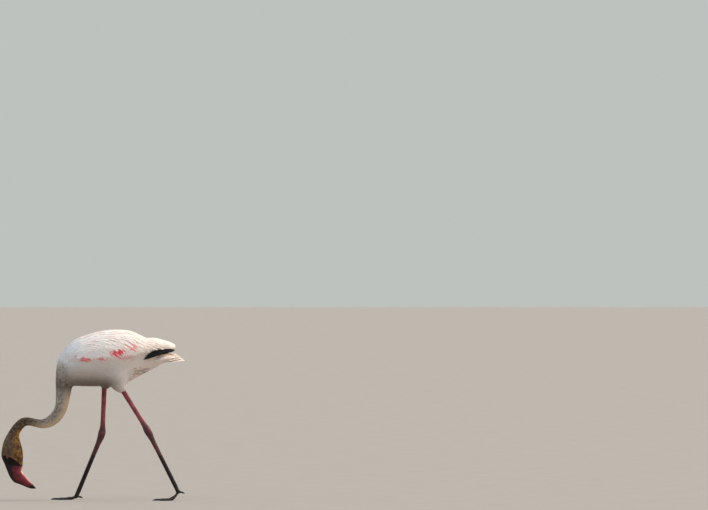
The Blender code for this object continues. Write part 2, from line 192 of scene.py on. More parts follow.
def sun(name, strength, colour, spread, height, turn):
    """A broad light. Turn 0 shines from behind the camera, 90 from behind the tail, in degrees."""
    light = bpy.data.lights.new(name, "SUN")
    light.energy, light.color, light.angle = strength, colour, math.radians(spread)
    placed(name, light).rotation_euler = (math.radians(90 - height), 0, math.radians(turn))


CAMERA_ASIDE, CAMERA_BACK, CAMERA_HEIGHT, CAMERA_TILT = 0.756, 22.81, 0.667, 90.11
camera = placed("camera", bpy.data.cameras.new("camera"))
camera.data.lens, camera.data.sensor_width, camera.data.clip_end = 400, 36, 300
camera.location = (CAMERA_ASIDE, -CAMERA_BACK, CAMERA_HEIGHT)
camera.rotation_euler = (math.radians(CAMERA_TILT), 0, 0)
scene.camera = camera
scene.view_settings.view_transform = "Standard"

# The room: a pale skirting at the height of the eye, darker walls, and a bright cool ceiling.
SKIRTING, WALL, CEILING = rgb(190, 194, 191), rgb(126, 131, 138), rgb(234, 240, 250)
world = bpy.data.worlds.new("studio")
world.use_nodes = True
make = Maker(world.node_tree)
_, _, height = make.parts(make.add("ShaderNodeTexCoord", output="Generated"))
walls = make.mottle(height, 0.15, 0.85, WALL, CEILING)
make.feed(world.node_tree.nodes["Background"].inputs["Color"],
          make.mottle(height, 0.10, 0.28, SKIRTING, walls))
scene.world = world
sun("key", 2.7, (1.0, 0.83, 0.67), 12, 38, 97)
sun("rim", 1.5, (1.0, 0.80, 0.60), 6, 24, 126)
sun("fill", 0.50, (0.78, 0.88, 1.0), 60, 50, -40)

FLOOR_REACH = 120
corners = [(x * FLOOR_REACH, y * FLOOR_REACH, 0) for x, y in ((-1, -1), (1, -1), (1, 1), (-1, 1))]
floor = mesh_object("floor", corners, [(0, 1, 2, 3)])
finish, make = new_finish("pale_floor", Roughness=0.9)
make.show(Base_Color=make.mix(make.noise(make.place(), 9), rgb(148, 144, 137), rgb(158, 155, 149)))
floor.data.materials.append(finish)


# ---------------------------------------------------------------- skin
# The body under the feathers: trunk, folded wings, neck, head and thighs in one skin. It
# lies inside the bird's outline by the depth of the coat, and reaches it on the bare face.
SKIN_GRAIN, GROWTH = 0.0021, 0.0004
FLESH = ["trunk", "neck_base", "neck_lower", "neck_middle", "neck_upper", "head", "wing_left",
         "wing_right", "thigh_left", "thigh_right", "tail"]
BILL_CUT = ((0, 0, 0.0945), (0, 0, -1))
CUTS = {"tail": ((0.238, 0, 0), (1, 0, 0)), "bill_upper": BILL_CUT, "bill_lower": BILL_CUT}
# Where the flank runs down into each thigh: side, first and last x, lowest and highest z.
HAUNCHES = {"left": (-1, 0.000, 0.112, 0.352, 0.400), "right": (1, 0.000, 0.085, 0.352, 0.395)}
HAUNCH_ASIDE, HAUNCH_CUFF = 0.018, 0.327
# The creases between the forms: where they are filled, as x, z and distance aside, and how far.
LOBE_FLOOR, FAR = 0.4305, 9.0
TRUNK_X, TRUNK_Z = (-0.10, 0.15), (0.332, FAR)
CREASES = [(TRUNK_X, TRUNK_Z, 0, 260), ((-0.01, 0.13), (0.333, 0.41), 0.015, 700),
           ((0.135, 0.235), (-FAR, LOBE_FLOOR), 0, 400)]


def joined_copy(nodes, growth):
    """Points and faces of several nodes together, each swollen a little so that they overlap."""
    points, faces, count = [], [], 0
    for node in nodes:
        shape = bmesh.new()
        shape.from_mesh(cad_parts[node].data)
        bmesh.ops.remove_doubles(shape, verts=shape.verts, dist=1e-6)
        if node in CUTS:
            everything = [*shape.verts, *shape.edges, *shape.faces]
            spot, way = CUTS[node]
            bmesh.ops.bisect_plane(shape, geom=everything, plane_co=spot, plane_no=way, clear_outer=True)
            bmesh.ops.holes_fill(shape, edges=shape.edges)
        shape.normal_update()
        own = np.array([v.co + v.normal * growth for v in shape.verts])
        faces += [[v.index + count for v in f.verts] for f in shape.faces]
        points.append(own)
        count += len(own)
        shape.free()
    return np.concatenate(points), faces


def haunch(name):
    """The closed form between the flank and a thigh, which stops the thigh standing off like an egg."""
    side, first, last, low, high = HAUNCHES[name]
    flank = [v.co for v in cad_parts["trunk"].data.vertices
             if first < v.co.x < last and low < v.co.z < high and v.co.y * side > HAUNCH_ASIDE]
    thigh = [v.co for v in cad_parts["thigh_" + name].data.vertices if v.co.z > HAUNCH_CUFF]
    shape = bmesh.new()
    for spot in flank + thigh:
        shape.verts.new(spot)
    hull = bmesh.ops.convex_hull(shape, input=shape.verts)
    spare = {v for v in hull["geom_interior"] + hull["geom_unused"] if isinstance(v, bmesh.types.BMVert)}
    bmesh.ops.delete(shape, geom=list(spare), context="VERTS")
    bmesh.ops.recalc_face_normals(shape, faces=shape.faces)
    shape.verts.index_update()
    points, faces = [tuple(v.co) for v in shape.verts], [[v.index for v in f.verts] for f in shape.faces]
    shape.free()
    return points, faces


def all_in_one(forms):
    """Several closed forms as the points and faces of one mesh."""
    points, faces = [], []
    for own, own_faces in forms:
        faces += [[i + len(points) for i in face] for face in own_faces]
        points += list(own)
    return points, faces


def settle(made):
    """Turns an object's modifiers into plain mesh."""
    graph = bpy.context.evaluated_depsgraph_get()
    mesh = bpy.data.meshes.new_from_object(made.evaluated_get(graph), depsgraph=graph)
    made.modifiers.clear()
    old, made.data = made.data, mesh
    bpy.data.meshes.remove(old)
    mesh.name = made.name
    mesh.shade_smooth()


def modified(made, kind, **settings):
    """Gives an object one modifier and settles it."""
    step = made.modifiers.new(kind, kind)
    for name, value in settings.items():
        setattr(step, name, value)
    settle(made)


def vectors(data, field):
    """The vectors of a mesh's points, one row for each."""
    flat = np.empty(len(data) * 3, dtype=np.float32)
    data.foreach_get(field, flat)
    return flat.reshape(-1, 3).astype(float)


def point_array(made):
    return vectors(made.data.vertices, "co")


def normal_array(made):
    return vectors(made.data.vertex_normals, "vector")


def set_points(made, points):
    made.data.vertices.foreach_set("co", points.astype(np.float32).ravel())
    made.data.update()


def store(made, **kept):
    """Keeps a number, or three, at each point of a mesh, by name."""
    for name, values in kept.items():
        values = np.asarray(values, dtype=np.float32)
        kind, field = ("FLOAT", "value") if values.ndim == 1 else ("FLOAT_VECTOR", "vector")
        made.data.attributes.new(name, kind, "POINT").data.foreach_set(field, values.ravel())


def ramp(x, low, high):
    """0 below low, 1 above high, with a soft turn between."""
    t = np.clip((x - low) / (high - low), 0, 1)
    return t * t * (3 - 2 * t)


def bump(x, middle, width):
    """1 at the middle, fading on both sides."""
    return math.e ** (-((x - middle) / width) ** 2)


def unit(rows):
    return rows / np.maximum(np.linalg.norm(rows, axis=-1, keepdims=True), 1e-9)


def within(points, x, z):
    """Which points lie between two x and between two z."""
    return (points[:, 0] > x[0]) & (points[:, 0] < x[1]) & (points[:, 2] > z[0]) & (points[:, 2] < z[1])


# Lines across the body from its outer edge to its inner one, as x, z, x, z, from the bill's
# root over the neck to the tail. The plumage lies square to them, towards the tail.
ACROSS = np.array([
    (-0.2559, 0.1012, -0.2045, 0.0962), (-0.2664, 0.1245, -0.2028, 0.1225),
    (-0.2642, 0.1545, -0.2066, 0.1540), (-0.2510, 0.1890, -0.2138, 0.1800),
    (-0.2384, 0.2101, -0.2140, 0.1919), (-0.2160, 0.2320, -0.2075, 0.2070),
    (-0.1905, 0.2413, -0.1905, 0.2155), (-0.1580, 0.2349, -0.1580, 0.2097),
    (-0.1330, 0.2420, -0.1180, 0.2120), (-0.1137, 0.2651, -0.0850, 0.2430),
    (-0.1098, 0.2890, -0.0700, 0.2840), (-0.1088, 0.3180, -0.0634, 0.3180),
    (-0.1096, 0.3480, -0.0606, 0.3272), (-0.1066, 0.3890, -0.0575, 0.3298),
    (-0.0940, 0.4265, -0.0515, 0.3304), (-0.0620, 0.4660, -0.0380, 0.3302),
    (-0.0180, 0.4820, -0.0110, 0.3296), (0.0350, 0.4930, 0.0250, 0.3300),
    (0.0850, 0.4950, 0.0680, 0.3345), (0.1250, 0.4850, 0.1100, 0.3420),
    (0.1650, 0.4700, 0.1600, 0.3725), (0.2100, 0.4600, 0.2100, 0.3960),
    (0.2700, 0.4500, 0.2700, 0.3900)])
SPANS = ACROSS[:, :2] - ACROSS[:, 2:]
MIDDLES = (ACROSS[:, :2] + ACROSS[:, 2:]) / 2
AHEAD = unit(np.stack([SPANS[:, 1], -SPANS[:, 0]], axis=1))
STATIONS = np.concatenate([[0], np.cumsum(np.linalg.norm(np.diff(MIDDLES, axis=0), axis=1))])
NAPE, NECK_FOOT, SHOULDER = STATIONS[5], STATIONS[11], STATIONS[14]


def along_body(points):
    """Where points are on the bird: how far along its middle line, the angle round it from
    the back, and the way the middle line runs there."""
    flat = points[:, [0, 2]]
    ahead = np.stack([(flat - m) @ a for m, a in zip(MIDDLES, AHEAD)], axis=1)
    near = np.stack([np.linalg.norm(flat - m, axis=1) for m in MIDDLES], axis=1)
    best, at = np.full(len(flat), np.inf), np.argmin(near, axis=1).astype(float)
    for k in range(len(MIDDLES) - 1):
        fall = ahead[:, k] - ahead[:, k + 1]
        t = ahead[:, k] / np.where(np.abs(fall) < 1e-9, 1e-9, fall)
        score = np.minimum(near[:, k], near[:, k + 1])
        better = (t > -0.02) & (t < 1.02) & (score < best)
        at = np.where(better, k + np.clip(t, 0, 1), at)
        best = np.where(better, score, best)
    k = np.clip(at.astype(int), 0, len(MIDDLES) - 2)
    t = (at - k)[:, None]
    way = unit(AHEAD[k] * (1 - t) + AHEAD[k + 1] * t)
    back = unit(SPANS[k] * (1 - t) + SPANS[k + 1] * t)
    centre = MIDDLES[k] * (1 - t) + MIDDLES[k + 1] * t
    distance = STATIONS[k] + (STATIONS[k + 1] - STATIONS[k]) * t[:, 0]
    around = np.arctan2(points[:, 1], ((flat - centre) * back).sum(axis=1))
    return distance, around, np.stack([way[:, 0], np.zeros(len(way)), way[:, 1]], axis=1)


FACE_FRONT, FACE_LENGTH, BROW, BROW_FALL, BROW_ARCH = -0.2639, 0.0589, 0.1308, 0.0324, 0.0070
HEAD_BACK = -0.15


def above_face(points):
    """How far a point lies above the border between the bare face and the feathers."""
    t = np.clip((points[:, 0] - FACE_FRONT) / FACE_LENGTH, 0, 1)
    border = BROW - BROW_FALL * t + BROW_ARCH * np.sin(math.pi * t)
    return np.where(points[:, 0] < HEAD_BACK, points[:, 2] - border, 1.0)


# The lower edge of the folded wing, as x and z.
WING_EDGE = np.array([(-0.095, 0.412), (-0.075, 0.398), (-0.045, 0.391), (0.035, 0.388), (0.070, 0.390),
                      (0.105, 0.398), (0.132, 0.406), (0.157, 0.416), (0.180, 0.430), (0.240, 0.438)])
WING_FRONT = (-0.100, -0.080)


def on_wing(points):
    """1 on the folded wing and the back, 0 on the breast, flank and belly."""
    edge = np.interp(points[:, 0], WING_EDGE[:, 0], WING_EDGE[:, 1])
    return ramp(points[:, 2] - edge, -0.004, 0.006) * ramp(points[:, 0], *WING_FRONT)


FACE_COAT, HEAD_COAT, NECK_COAT, TRUNK_COAT = 0.0002, 0.0011, 0.0009, 0.0010


def coat_depth(points, distance):
    """How thick the plumage is: a film at the face, more on the neck, and most on the trunk."""
    depth = HEAD_COAT + NECK_COAT * ramp(distance, 0.6 * NAPE, NAPE)
    depth = depth + TRUNK_COAT * ramp(distance, NECK_FOOT, SHOULDER)
    return FACE_COAT + (depth - FACE_COAT) * ramp(above_face(points), -0.0005, 0.006)


def smoothed(made, rounds, chosen=None):
    """Relaxes a surface, or only the chosen points of it."""
    if chosen is None:
        chosen = np.ones(len(made.data.vertices), bool)
    group = made.vertex_groups.new(name="chosen")
    group.add(np.flatnonzero(chosen).tolist(), 1.0, "REPLACE")
    modified(made, "SMOOTH", iterations=rounds, factor=0.5, vertex_group="chosen")
    made.vertex_groups.clear()


def fill_hollows(made, chosen, rounds):
    """Fills the creases among the chosen points, and leaves what stands proud as it is."""
    before, out = point_array(made), normal_array(made)
    smoothed(made, rounds, chosen)
    rise = ((point_array(made) - before) * out).sum(axis=1)
    set_points(made, before + out * np.maximum(rise, 0)[:, None])


def reshaped(made, change):
    """Lets a function change an object's mesh, and leaves it smooth."""
    shape = bmesh.new()
    shape.from_mesh(made.data)
    change(shape)
    shape.to_mesh(made.data)
    shape.free()
    made.data.shade_smooth()


def refined(made, chosen, cuts):
    """Splits the faces among the chosen points into smaller ones."""
    def split(shape):
        edges = [e for e in shape.edges if all(chosen[v.index] for v in e.verts)]
        bmesh.ops.subdivide_edges(shape, edges=edges, cuts=cuts, use_grid_fill=True)
    reshaped(made, split)


body = joined_copy([*FLESH, "bill_upper", "bill_lower"], GROWTH)
skin = mesh_object("skin", *all_in_one([body, haunch("left"), haunch("right")]))
modified(skin, "REMESH", mode="VOXEL", voxel_size=SKIN_GRAIN)
smoothed(skin, 6)
for x_range, z_range, aside, rounds in CREASES:
    spots = point_array(skin)
    fill_hollows(skin, within(spots, x_range, z_range) & (np.abs(spots[:, 1]) >= aside), rounds)
smoothed(skin, 8, within(spots, TRUNK_X, TRUNK_Z))
spots = point_array(skin)
distance, _, _ = along_body(spots)
spots = spots - normal_array(skin) * (GROWTH + coat_depth(spots, distance))[:, None]

# The flesh of the rump and of the wings' ends thins out, so that the quills leave it there.
THINNING, RUMP_MIDDLE, RUMP_NARROWER, RUMP_FLATTER = (0.195, 0.240), 0.4110, 0.30, 0.40
LOBE_NARROWER, LOBE_SHORTER, LOBE_FULL = 0.16, 0.40, 0.220
lobe = spots[:, 2] >= LOBE_FLOOR
thin = ramp(spots[:, 0], *THINNING)
spots[:, 1] *= 1 - np.where(lobe, LOBE_NARROWER, RUMP_NARROWER) * thin
spots[:, 2] += (RUMP_MIDDLE - spots[:, 2]) * RUMP_FLATTER * thin * ~lobe
spots[:, 0] -= LOBE_SHORTER * np.maximum(spots[:, 0] - LOBE_FULL, 0) * lobe
set_points(skin, spots)
smoothed(skin, 2)

# The face: bare wrinkled skin from the eyes to the bill, with a thick lid round each eye.
EYE_RADIUS, EYE_X, EYE_Z, EYE_SPREAD, EYE_ASIDE = 0.0056, -0.2476, 0.1246, 0.0112, 0.006
LID, LID_WIDTH, LID_HEIGHT, LID_LONG, LID_TALL = 0.0054, 0.0012, 0.0013, 1.06, 0.94
SOCKET, SOCKET_RIM, SOCKET_DEPTH = 0.0044, 0.0034, 0.0035
FOLD_STEP, FOLD_HEIGHT, FOLDS_FROM, FOLDS_TO = 0.0019, 0.00016, (0.0062, 0.0075), (0.0080, 0.0145)
HEAD_X, FINE_TO, SMOOTH_TO = -0.18, 0.012, 0.014
spots = point_array(skin)
refined(skin, (spots[:, 0] < HEAD_X) & (above_face(spots) < FINE_TO), 3)
spots = point_array(skin)
smoothed(skin, 6, (spots[:, 0] < HEAD_X) & (above_face(spots) < SMOOTH_TO))
spots, away = point_array(skin), normal_array(skin)
from_eye = np.hypot((spots[:, 0] - EYE_X) / LID_LONG, (spots[:, 2] - EYE_Z) / LID_TALL)
from_eye = np.where(np.abs(spots[:, 1]) > EYE_ASIDE, from_eye, 1.0)
folds = ramp(from_eye, *FOLDS_FROM) * (1 - ramp(from_eye, *FOLDS_TO))
lift = LID_HEIGHT * bump(from_eye, LID, LID_WIDTH)
lift -= SOCKET_DEPTH * (1 - ramp(from_eye, SOCKET_RIM, SOCKET))
lift += FOLD_HEIGHT * folds * np.sin(from_eye / FOLD_STEP * 2 * math.pi)
set_points(skin, spots + away * lift[:, None])

# How the feathers lie: towards the tail, drooping over the wing, and down the thighs.
THIGH_WAY = unit(np.array([(0.0345, 0, -0.0580), (-0.0135, 0, -0.0560)]))
DROOP, LOBE_DROOP, LOBE_MIDDLE, LOBE_TALL, LOBE_X = 38, 20, 0.438, 0.026, (0.105, 0.175)
DROOP_X, DROOP_ASIDE, THIGH_X, THIGH_Z = (-0.06, 0.01), (0.004, 0.030), (-0.02, 0.0), (0.326, 0.340)
spots, away = point_array(skin), normal_array(skin)
distance, around, way = along_body(spots)
lobe_share = np.clip((spots[:, 2] - LOBE_MIDDLE) / LOBE_TALL, 0, 1)
slope = np.radians(DROOP + (LOBE_DROOP * lobe_share - DROOP) * ramp(spots[:, 0], *LOBE_X))
droop = np.stack([np.cos(slope), np.zeros(len(spots)), -np.sin(slope)], axis=1)
wing = on_wing(spots)
drooping = (wing * ramp(spots[:, 0], *DROOP_X) * ramp(np.abs(spots[:, 1]), *DROOP_ASIDE))[:, None]
lie = way * (1 - drooping) + droop * drooping
thigh = ((1 - ramp(spots[:, 2], *THIGH_Z)) * ramp(spots[:, 0], *THIGH_X))[:, None]
lie = unit(lie * (1 - thigh) + THIGH_WAY[(spots[:, 1] >= 0).astype(int)] * thigh)
lie = unit(lie - away * (lie * away).sum(axis=1, keepdims=True))
feathered = ramp(above_face(spots), 0.0002, 0.0012)
store(skin, lie=lie, away=away, deep=coat_depth(spots, distance), along=distance,
      around=np.abs(around) / math.pi, mark=spots, tint=np.full(len(spots), 0.5),
      vane=np.tile((0.0, 0.5, 0.0), (len(spots), 1)), bare=1 - ramp(above_face(spots), -0.0005, 0.0015))
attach(skin, "root")
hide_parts(*[node for node in FLESH if node != "tail"])


# ---------------------------------------------------------------- eyes
# A ball of dark orange-red with a small black pupil, under a slightly raised clear cornea.
# It sits in the socket of the skin, and the lid overlaps its rim.
CORNEA, CORNEA_RISE, PUPIL, PUPIL_EDGE, IRIS, IRIS_RIM = 0.0034, 0.0005, 0.0021, 0.0001, 0.0038, 0.00304
SIDES = (("left", -1), ("right", 1))


def eyeball(name, side):
    shape = bmesh.new()
    bmesh.ops.create_uvsphere(shape, u_segments=48, v_segments=32, radius=EYE_RADIUS)
    for v in shape.verts:
        x, y, z = v.co.x, v.co.z * side, v.co.y
        clear = max(1 - math.hypot(x, z) / CORNEA, 0) if y * side > 0 else 0
        v.co = (x + EYE_X, y + side * (CORNEA_RISE * clear ** 0.5 + EYE_SPREAD), z + EYE_Z)
    shape.normal_update()
    bmesh.ops.recalc_face_normals(shape, faces=shape.faces)
    made = mesh_object(name, [], [])
    shape.to_mesh(made.data)
    shape.free()
    made.data.shade_smooth()
    return made


def fitted(made, finish, slot, *solids):
    """Gives a piece its finish, ties it to the root and hides the solids that it stands for."""
    made.data.materials.clear()
    made.data.materials.append(finish)
    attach(made, "root")
    if solids:
        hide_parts(*solids)


eye_finish, make = new_finish("eye", Roughness=0.12, Coat_Weight=0.5, Coat_Roughness=0.03)
x, _, z = make.parts(make.place())
off_x, off_z = x - EYE_X, z - EYE_Z
radius = (off_x * off_x + off_z * off_z) ** 0.5
turn = make.math("ARCTAN2", off_z, off_x)
rays = make.noise(make.vector(turn * 6.0, radius * 400.0), 3.0, 2)
iris = make.mottle(rays, 0.3, 0.7, rgb(112, 22, 8), rgb(160, 54, 16))
iris = make.mottle(radius, IRIS_RIM, IRIS, iris, rgb(40, 8, 8))
make.show(Base_Color=make.mottle(radius, PUPIL + PUPIL_EDGE, PUPIL - PUPIL_EDGE, iris, rgb(6, 4, 5)))
for name, side in SIDES:
    fitted(eyeball("eyeball_" + name, side), eye_finish, "eye", "eye_" + name)


# ---------------------------------------------------------------- bill
# Two mandibles of horn, sharply bent down in the middle. The narrow upper one lies like a
# lid on the deep lower one, with a slit of a nostril and a groove along its side.
# Sections: ridge x, z, keel x, z, half width, and the share of the depth above the mouth.
BILL = [
    (-0.2576, 0.1052, -0.2048, 0.1002, 0.0143, 0.41), (-0.2559, 0.1012, -0.2045, 0.0962, 0.0140, 0.40),
    (-0.2506, 0.0876, -0.2070, 0.0868, 0.0138, 0.37), (-0.2451, 0.0742, -0.2037, 0.0790, 0.0138, 0.34),
    (-0.2384, 0.0618, -0.1977, 0.0718, 0.0134, 0.32), (-0.2290, 0.0518, -0.1917, 0.0652, 0.0126, 0.31),
    (-0.2165, 0.0470, -0.1865, 0.0585, 0.0112, 0.31), (-0.2039, 0.0421, -0.1815, 0.0532, 0.0096, 0.33),
    (-0.1929, 0.0374, -0.1763, 0.0486, 0.0078, 0.36), (-0.1810, 0.0336, -0.1712, 0.0422, 0.0052, 0.42),
    (-0.1676, 0.0331, -0.1660, 0.0356, 0.0018, 0.50)]
BILL_RINGS, BILL_SIDES, MOUTH_GAP, UPPER_WIDTH, ROUNDNESS = 110, 40, 0.00005, 0.95, 0.90
# Angles from the ridge or the keel, their widths, and depths as shares of the half width.
NOSTRIL, NOSTRIL_WIDE, NOSTRIL_DEEP = 0.62, 0.06, 0.14
GROOVE, GROOVE_WIDE, GROOVE_DEEP = 0.66, 0.10, 0.022
RIB, RIB_WIDE, RIB_HIGH, KEEL_WIDE, KEEL_DEEP = 0.22, 0.09, 0.018, 0.10, 0.012


def through(rows, at):
    """The row at a fractional place in a table, on a smooth curve through all its rows."""
    rows = np.asarray(rows, float)
    at = np.clip(np.asarray(at, float), 0, len(rows) - 1)
    i = np.clip(at.astype(int), 0, len(rows) - 2)
    t = (at - i)[..., None]
    a, b, c, d = (rows[np.clip(i + k, 0, len(rows) - 1)] for k in (-1, 0, 1, 2))
    return b + 0.5 * t * (c - a + t * (2 * a - 5 * b + 4 * c - d + t * (3 * (b - c) + d - a)))


def loft(rings):
    """Points and faces of a closed form through rings of equally many points."""
    count, sides = len(rings), len(rings[0])
    faces = []
    for low, high in ((i * sides, (i + 1) * sides) for i in range(count - 1)):
        faces += [(low + j, low + (j + 1) % sides, high + (j + 1) % sides, high + j) for j in range(sides)]
    points = [p for ring in rings for p in ring] + [np.mean(rings[0], axis=0), np.mean(rings[-1], axis=0)]
    last = (count - 1) * sides
    faces += [((j + 1) % sides, j, count * sides) for j in range(sides)]
    faces += [(last + j, last + (j + 1) % sides, count * sides + 1) for j in range(sides)]
    return points, faces


def outward(made):
    """Turns all the faces of a closed mesh to point outwards."""
    reshaped(made, lambda shape: bmesh.ops.recalc_face_normals(shape, faces=shape.faces))


def between(x, first, full, fade, last):
    """1 from full to fade, and 0 before first and after last."""
    return ramp(x, first, full) * (1 - ramp(x, fade, last))


def mandible(name, upper):
    rings, marks = [], []
    for at in np.linspace(0, len(BILL) - 1, BILL_RINGS):
        ridge_x, ridge_z, keel_x, keel_z, half, share = through(BILL, at)
        ridge, keel = np.array((ridge_x, ridge_z)), np.array((keel_x, keel_z))
        centre, deep = (ridge + keel) / 2, (ridge - keel) / 2
        mouth = math.acos(1 - 2 * share)
        slack = MOUTH_GAP / 2 / (np.linalg.norm(deep) * max(math.sin(mouth), 0.3))
        first, last = slack - mouth, mouth - slack
        if not upper:
            first, last = mouth + slack, 2 * math.pi - mouth - slack
        half *= UPPER_WIDTH if upper else 1
        ring = []
        for angle in np.linspace(first, last, BILL_SIDES):
            turn = abs(angle) if upper else abs(angle - math.pi)
            if upper:
                nostril = bump(turn, NOSTRIL, NOSTRIL_WIDE) * between(at, 1.3, 1.7, 3.0, 3.4)
                groove = bump(turn, GROOVE, GROOVE_WIDE) * between(at, 1.0, 1.4, 6.0, 8.0)
                swell = 1 - NOSTRIL_DEEP * nostril - GROOVE_DEEP * groove
            else:
                rib = bump(turn, math.pi - mouth - RIB, RIB_WIDE) * (1 - ramp(at, 7.5, 9.0))
                swell = 1 + RIB_HIGH * rib
                swell -= KEEL_DEEP * bump(turn, 0, KEEL_WIDE)
            wide = math.copysign(abs(math.sin(angle)) ** ROUNDNESS, math.sin(angle)) * half
            spot = centre + deep * math.cos(angle) * swell
            ring.append((spot[0], wide * swell, spot[1]))
            marks.append((at / (len(BILL) - 1), 0.5 - 0.5 * math.cos(angle), turn))
        rings.append(ring)
    made = mesh_object(name, *loft(rings))
    outward(made)
    store(made, horn=marks + [marks[0], marks[-1]])
    return made


bill_finish, make = new_finish("bill_horn", Roughness=0.4, Coat_Roughness=0.25, Specular_IOR_Level=0.25)
place = make.place()
reach, share, turn = make.parts(make.stored("horn", "Vector"))
grain = make.noise(make.vector(reach * 14.0, share * 90.0), 1.0, 4, 0.6)
cloud, pits = make.noise(place, 90, 3), make.noise(place, 900, 2)
colour = make.mottle(cloud, 0.30, 0.70, rgb(84, 20, 28), rgb(120, 38, 44))
# painted highlight on the lower mandible: lighter towards the keel, and pale pink along its edge
colour = make.mix(make.step(share + (grain - 0.5) * 0.2, 0.55, 0.90) * 0.55, colour, rgb(160, 66, 78))
colour = make.mottle(share + (cloud - 0.5) * 0.10, 0.90, 0.985, colour, rgb(222, 140, 132))
ridge_edge = make.step(reach, 0.05, 0.60) * -0.22 + 0.40
dark = make.step(share + (grain - 0.5) * 0.22 - ridge_edge, 0.07, -0.08)
root = make.step(reach + (cloud - 0.5) * 0.14 + share * 0.10, 0.24, 0.11)
tip = make.step(reach + (cloud - 0.5) * 0.04 + share * 0.02, 0.815, 0.855)
black = make.math("MAXIMUM", make.math("MAXIMUM", dark, tip), root)
colour = make.mix(black * 0.97, colour, make.mix(grain, rgb(4, 3, 5), rgb(13, 8, 11)))
make.show(Base_Color=make.mix(make.step(pits, 0.58, 0.76) * 0.16, colour, rgb(176, 104, 108)),
          Roughness=0.34 + grain * 0.22, Coat_Weight=0.22 - make.step(pits, 0.4, 0.8) * 0.12,
          Normal=make.relief(grain + pits * 0.5, 0.00012, 0.6))
for name, upper in (("upper", True), ("lower", False)):
    fitted(mandible("mandible_" + name, upper), bill_finish, "bill_horn", "bill_" + name)


# ---------------------------------------------------------------- legs
# Bare scaled skin over bone and tendon, from under the thigh's feathers over the knobbly
# ankle to the toes: broad plates in front, small scales behind, black where it wades.
# Each leg: side, inside the thigh, cuff, ankle, root of the toes, as x, y, z.
LEGS = {"left": (-1, (0.0745, -0.035, 0.3385), (0.0885, -0.035, 0.3150), (0.1583, -0.035, 0.2030),
                 (0.2472, -0.040, 0.0255)),
        "right": (1, (0.0340, 0.035, 0.3370), (0.0305, 0.035, 0.3230), (0.0252, 0.035, 0.1935),
                  (-0.0505, 0.040, 0.0100))}
# Distance from the ankle as a share of the bone, half depth, half width.
SHANK = np.array([
    (-1.2, 0.0070, 0.0062), (-1.0, 0.0070, 0.0062), (-0.85, 0.0067, 0.0059), (-0.5, 0.0064, 0.0056),
    (-0.25, 0.0065, 0.0056), (-0.12, 0.0077, 0.0067), (-0.05, 0.0099, 0.0083), (0.0, 0.0107, 0.0090),
    (0.05, 0.0100, 0.0085), (0.10, 0.0084, 0.0071), (0.16, 0.0068, 0.0058), (0.35, 0.0059, 0.0050),
    (0.75, 0.0057, 0.0049), (0.93, 0.0059, 0.0053), (0.99, 0.0050, 0.0050), (1.03, 0.0022, 0.0022)])
LEG_RINGS, LEG_SIDES, LEG_TOP, LEG_END, ANKLE_BEND, ANKLE_BULGE = 330, 26, -1.18, 1.03, 0.016, 0.0035
PLATE, PLATE_STEP, PLATE_WAVE, TENDON, TENDON_GROOVE, KNOB = 0.0044, 0.00030, 0.12, 0.0007, 0.0005, 0.0008
ACROSS_WALK = np.array((0.0, 1.0, 0.0))


def limb(start, cuff, ankle, root):
    """Points, faces and the marks (distance down, angle from the front, height) of a bare leg."""
    start, cuff, ankle, root = (np.array(p, float) for p in (start, cuff, ankle, root))
    shank_way, shin_way = unit(ankle - cuff), unit(root - ankle)
    shank_long, shin_long = np.linalg.norm(ankle - cuff), np.linalg.norm(root - ankle)
    rings, marks = [], []
    for share in np.linspace(LEG_TOP, LEG_END, LEG_RINGS):
        down = share * (shank_long if share < 0 else shin_long)
        bend = ramp(down, -ANKLE_BEND, ANKLE_BEND)
        way = unit(shank_way * (1 - bend) + shin_way * bend)
        centre = ankle + (shank_way if share < 0 else shin_way) * down
        centre = centre + (shin_way - shank_way) * ANKLE_BULGE * bump(down, 0, 0.009)
        if share < -1:
            centre = cuff + unit(cuff - start) * (down + shank_long)
        deep, wide = (np.interp(share, SHANK[:, 0], SHANK[:, i]) for i in (1, 2))
        fore = unit(np.cross(way, ACROSS_WALK))
        fore = fore if fore[0] < 0 else -fore
        across = unit(np.cross(fore, way))
        knob = bump(share, 0.005, 0.05)
        ring = []
        for angle in np.arange(LEG_SIDES) * 2 * math.pi / LEG_SIDES:
            plate = (down / PLATE + PLATE_WAVE * math.cos(3 * angle)) % 1.0
            swell = PLATE_STEP * ramp(math.cos(angle), 0.25, 0.65) * (1 - plate) ** 2 * (1 - knob)
            swell += TENDON * bump(angle, math.pi, 0.5) * (1 - knob)
            swell -= TENDON_GROOVE * bump(abs(angle - math.pi), 0.95, 0.3)
            swell += KNOB * knob * abs(math.sin(angle)) ** 3
            ring.append(centre + fore * math.cos(angle) * (deep + swell)
                        + across * math.sin(angle) * (wide + swell))
            marks.append((down, angle if angle < math.pi else angle - 2 * math.pi, plate))
        rings.append(ring)
    points, faces = loft(rings)
    return points, faces, marks + [marks[0], marks[-1]]


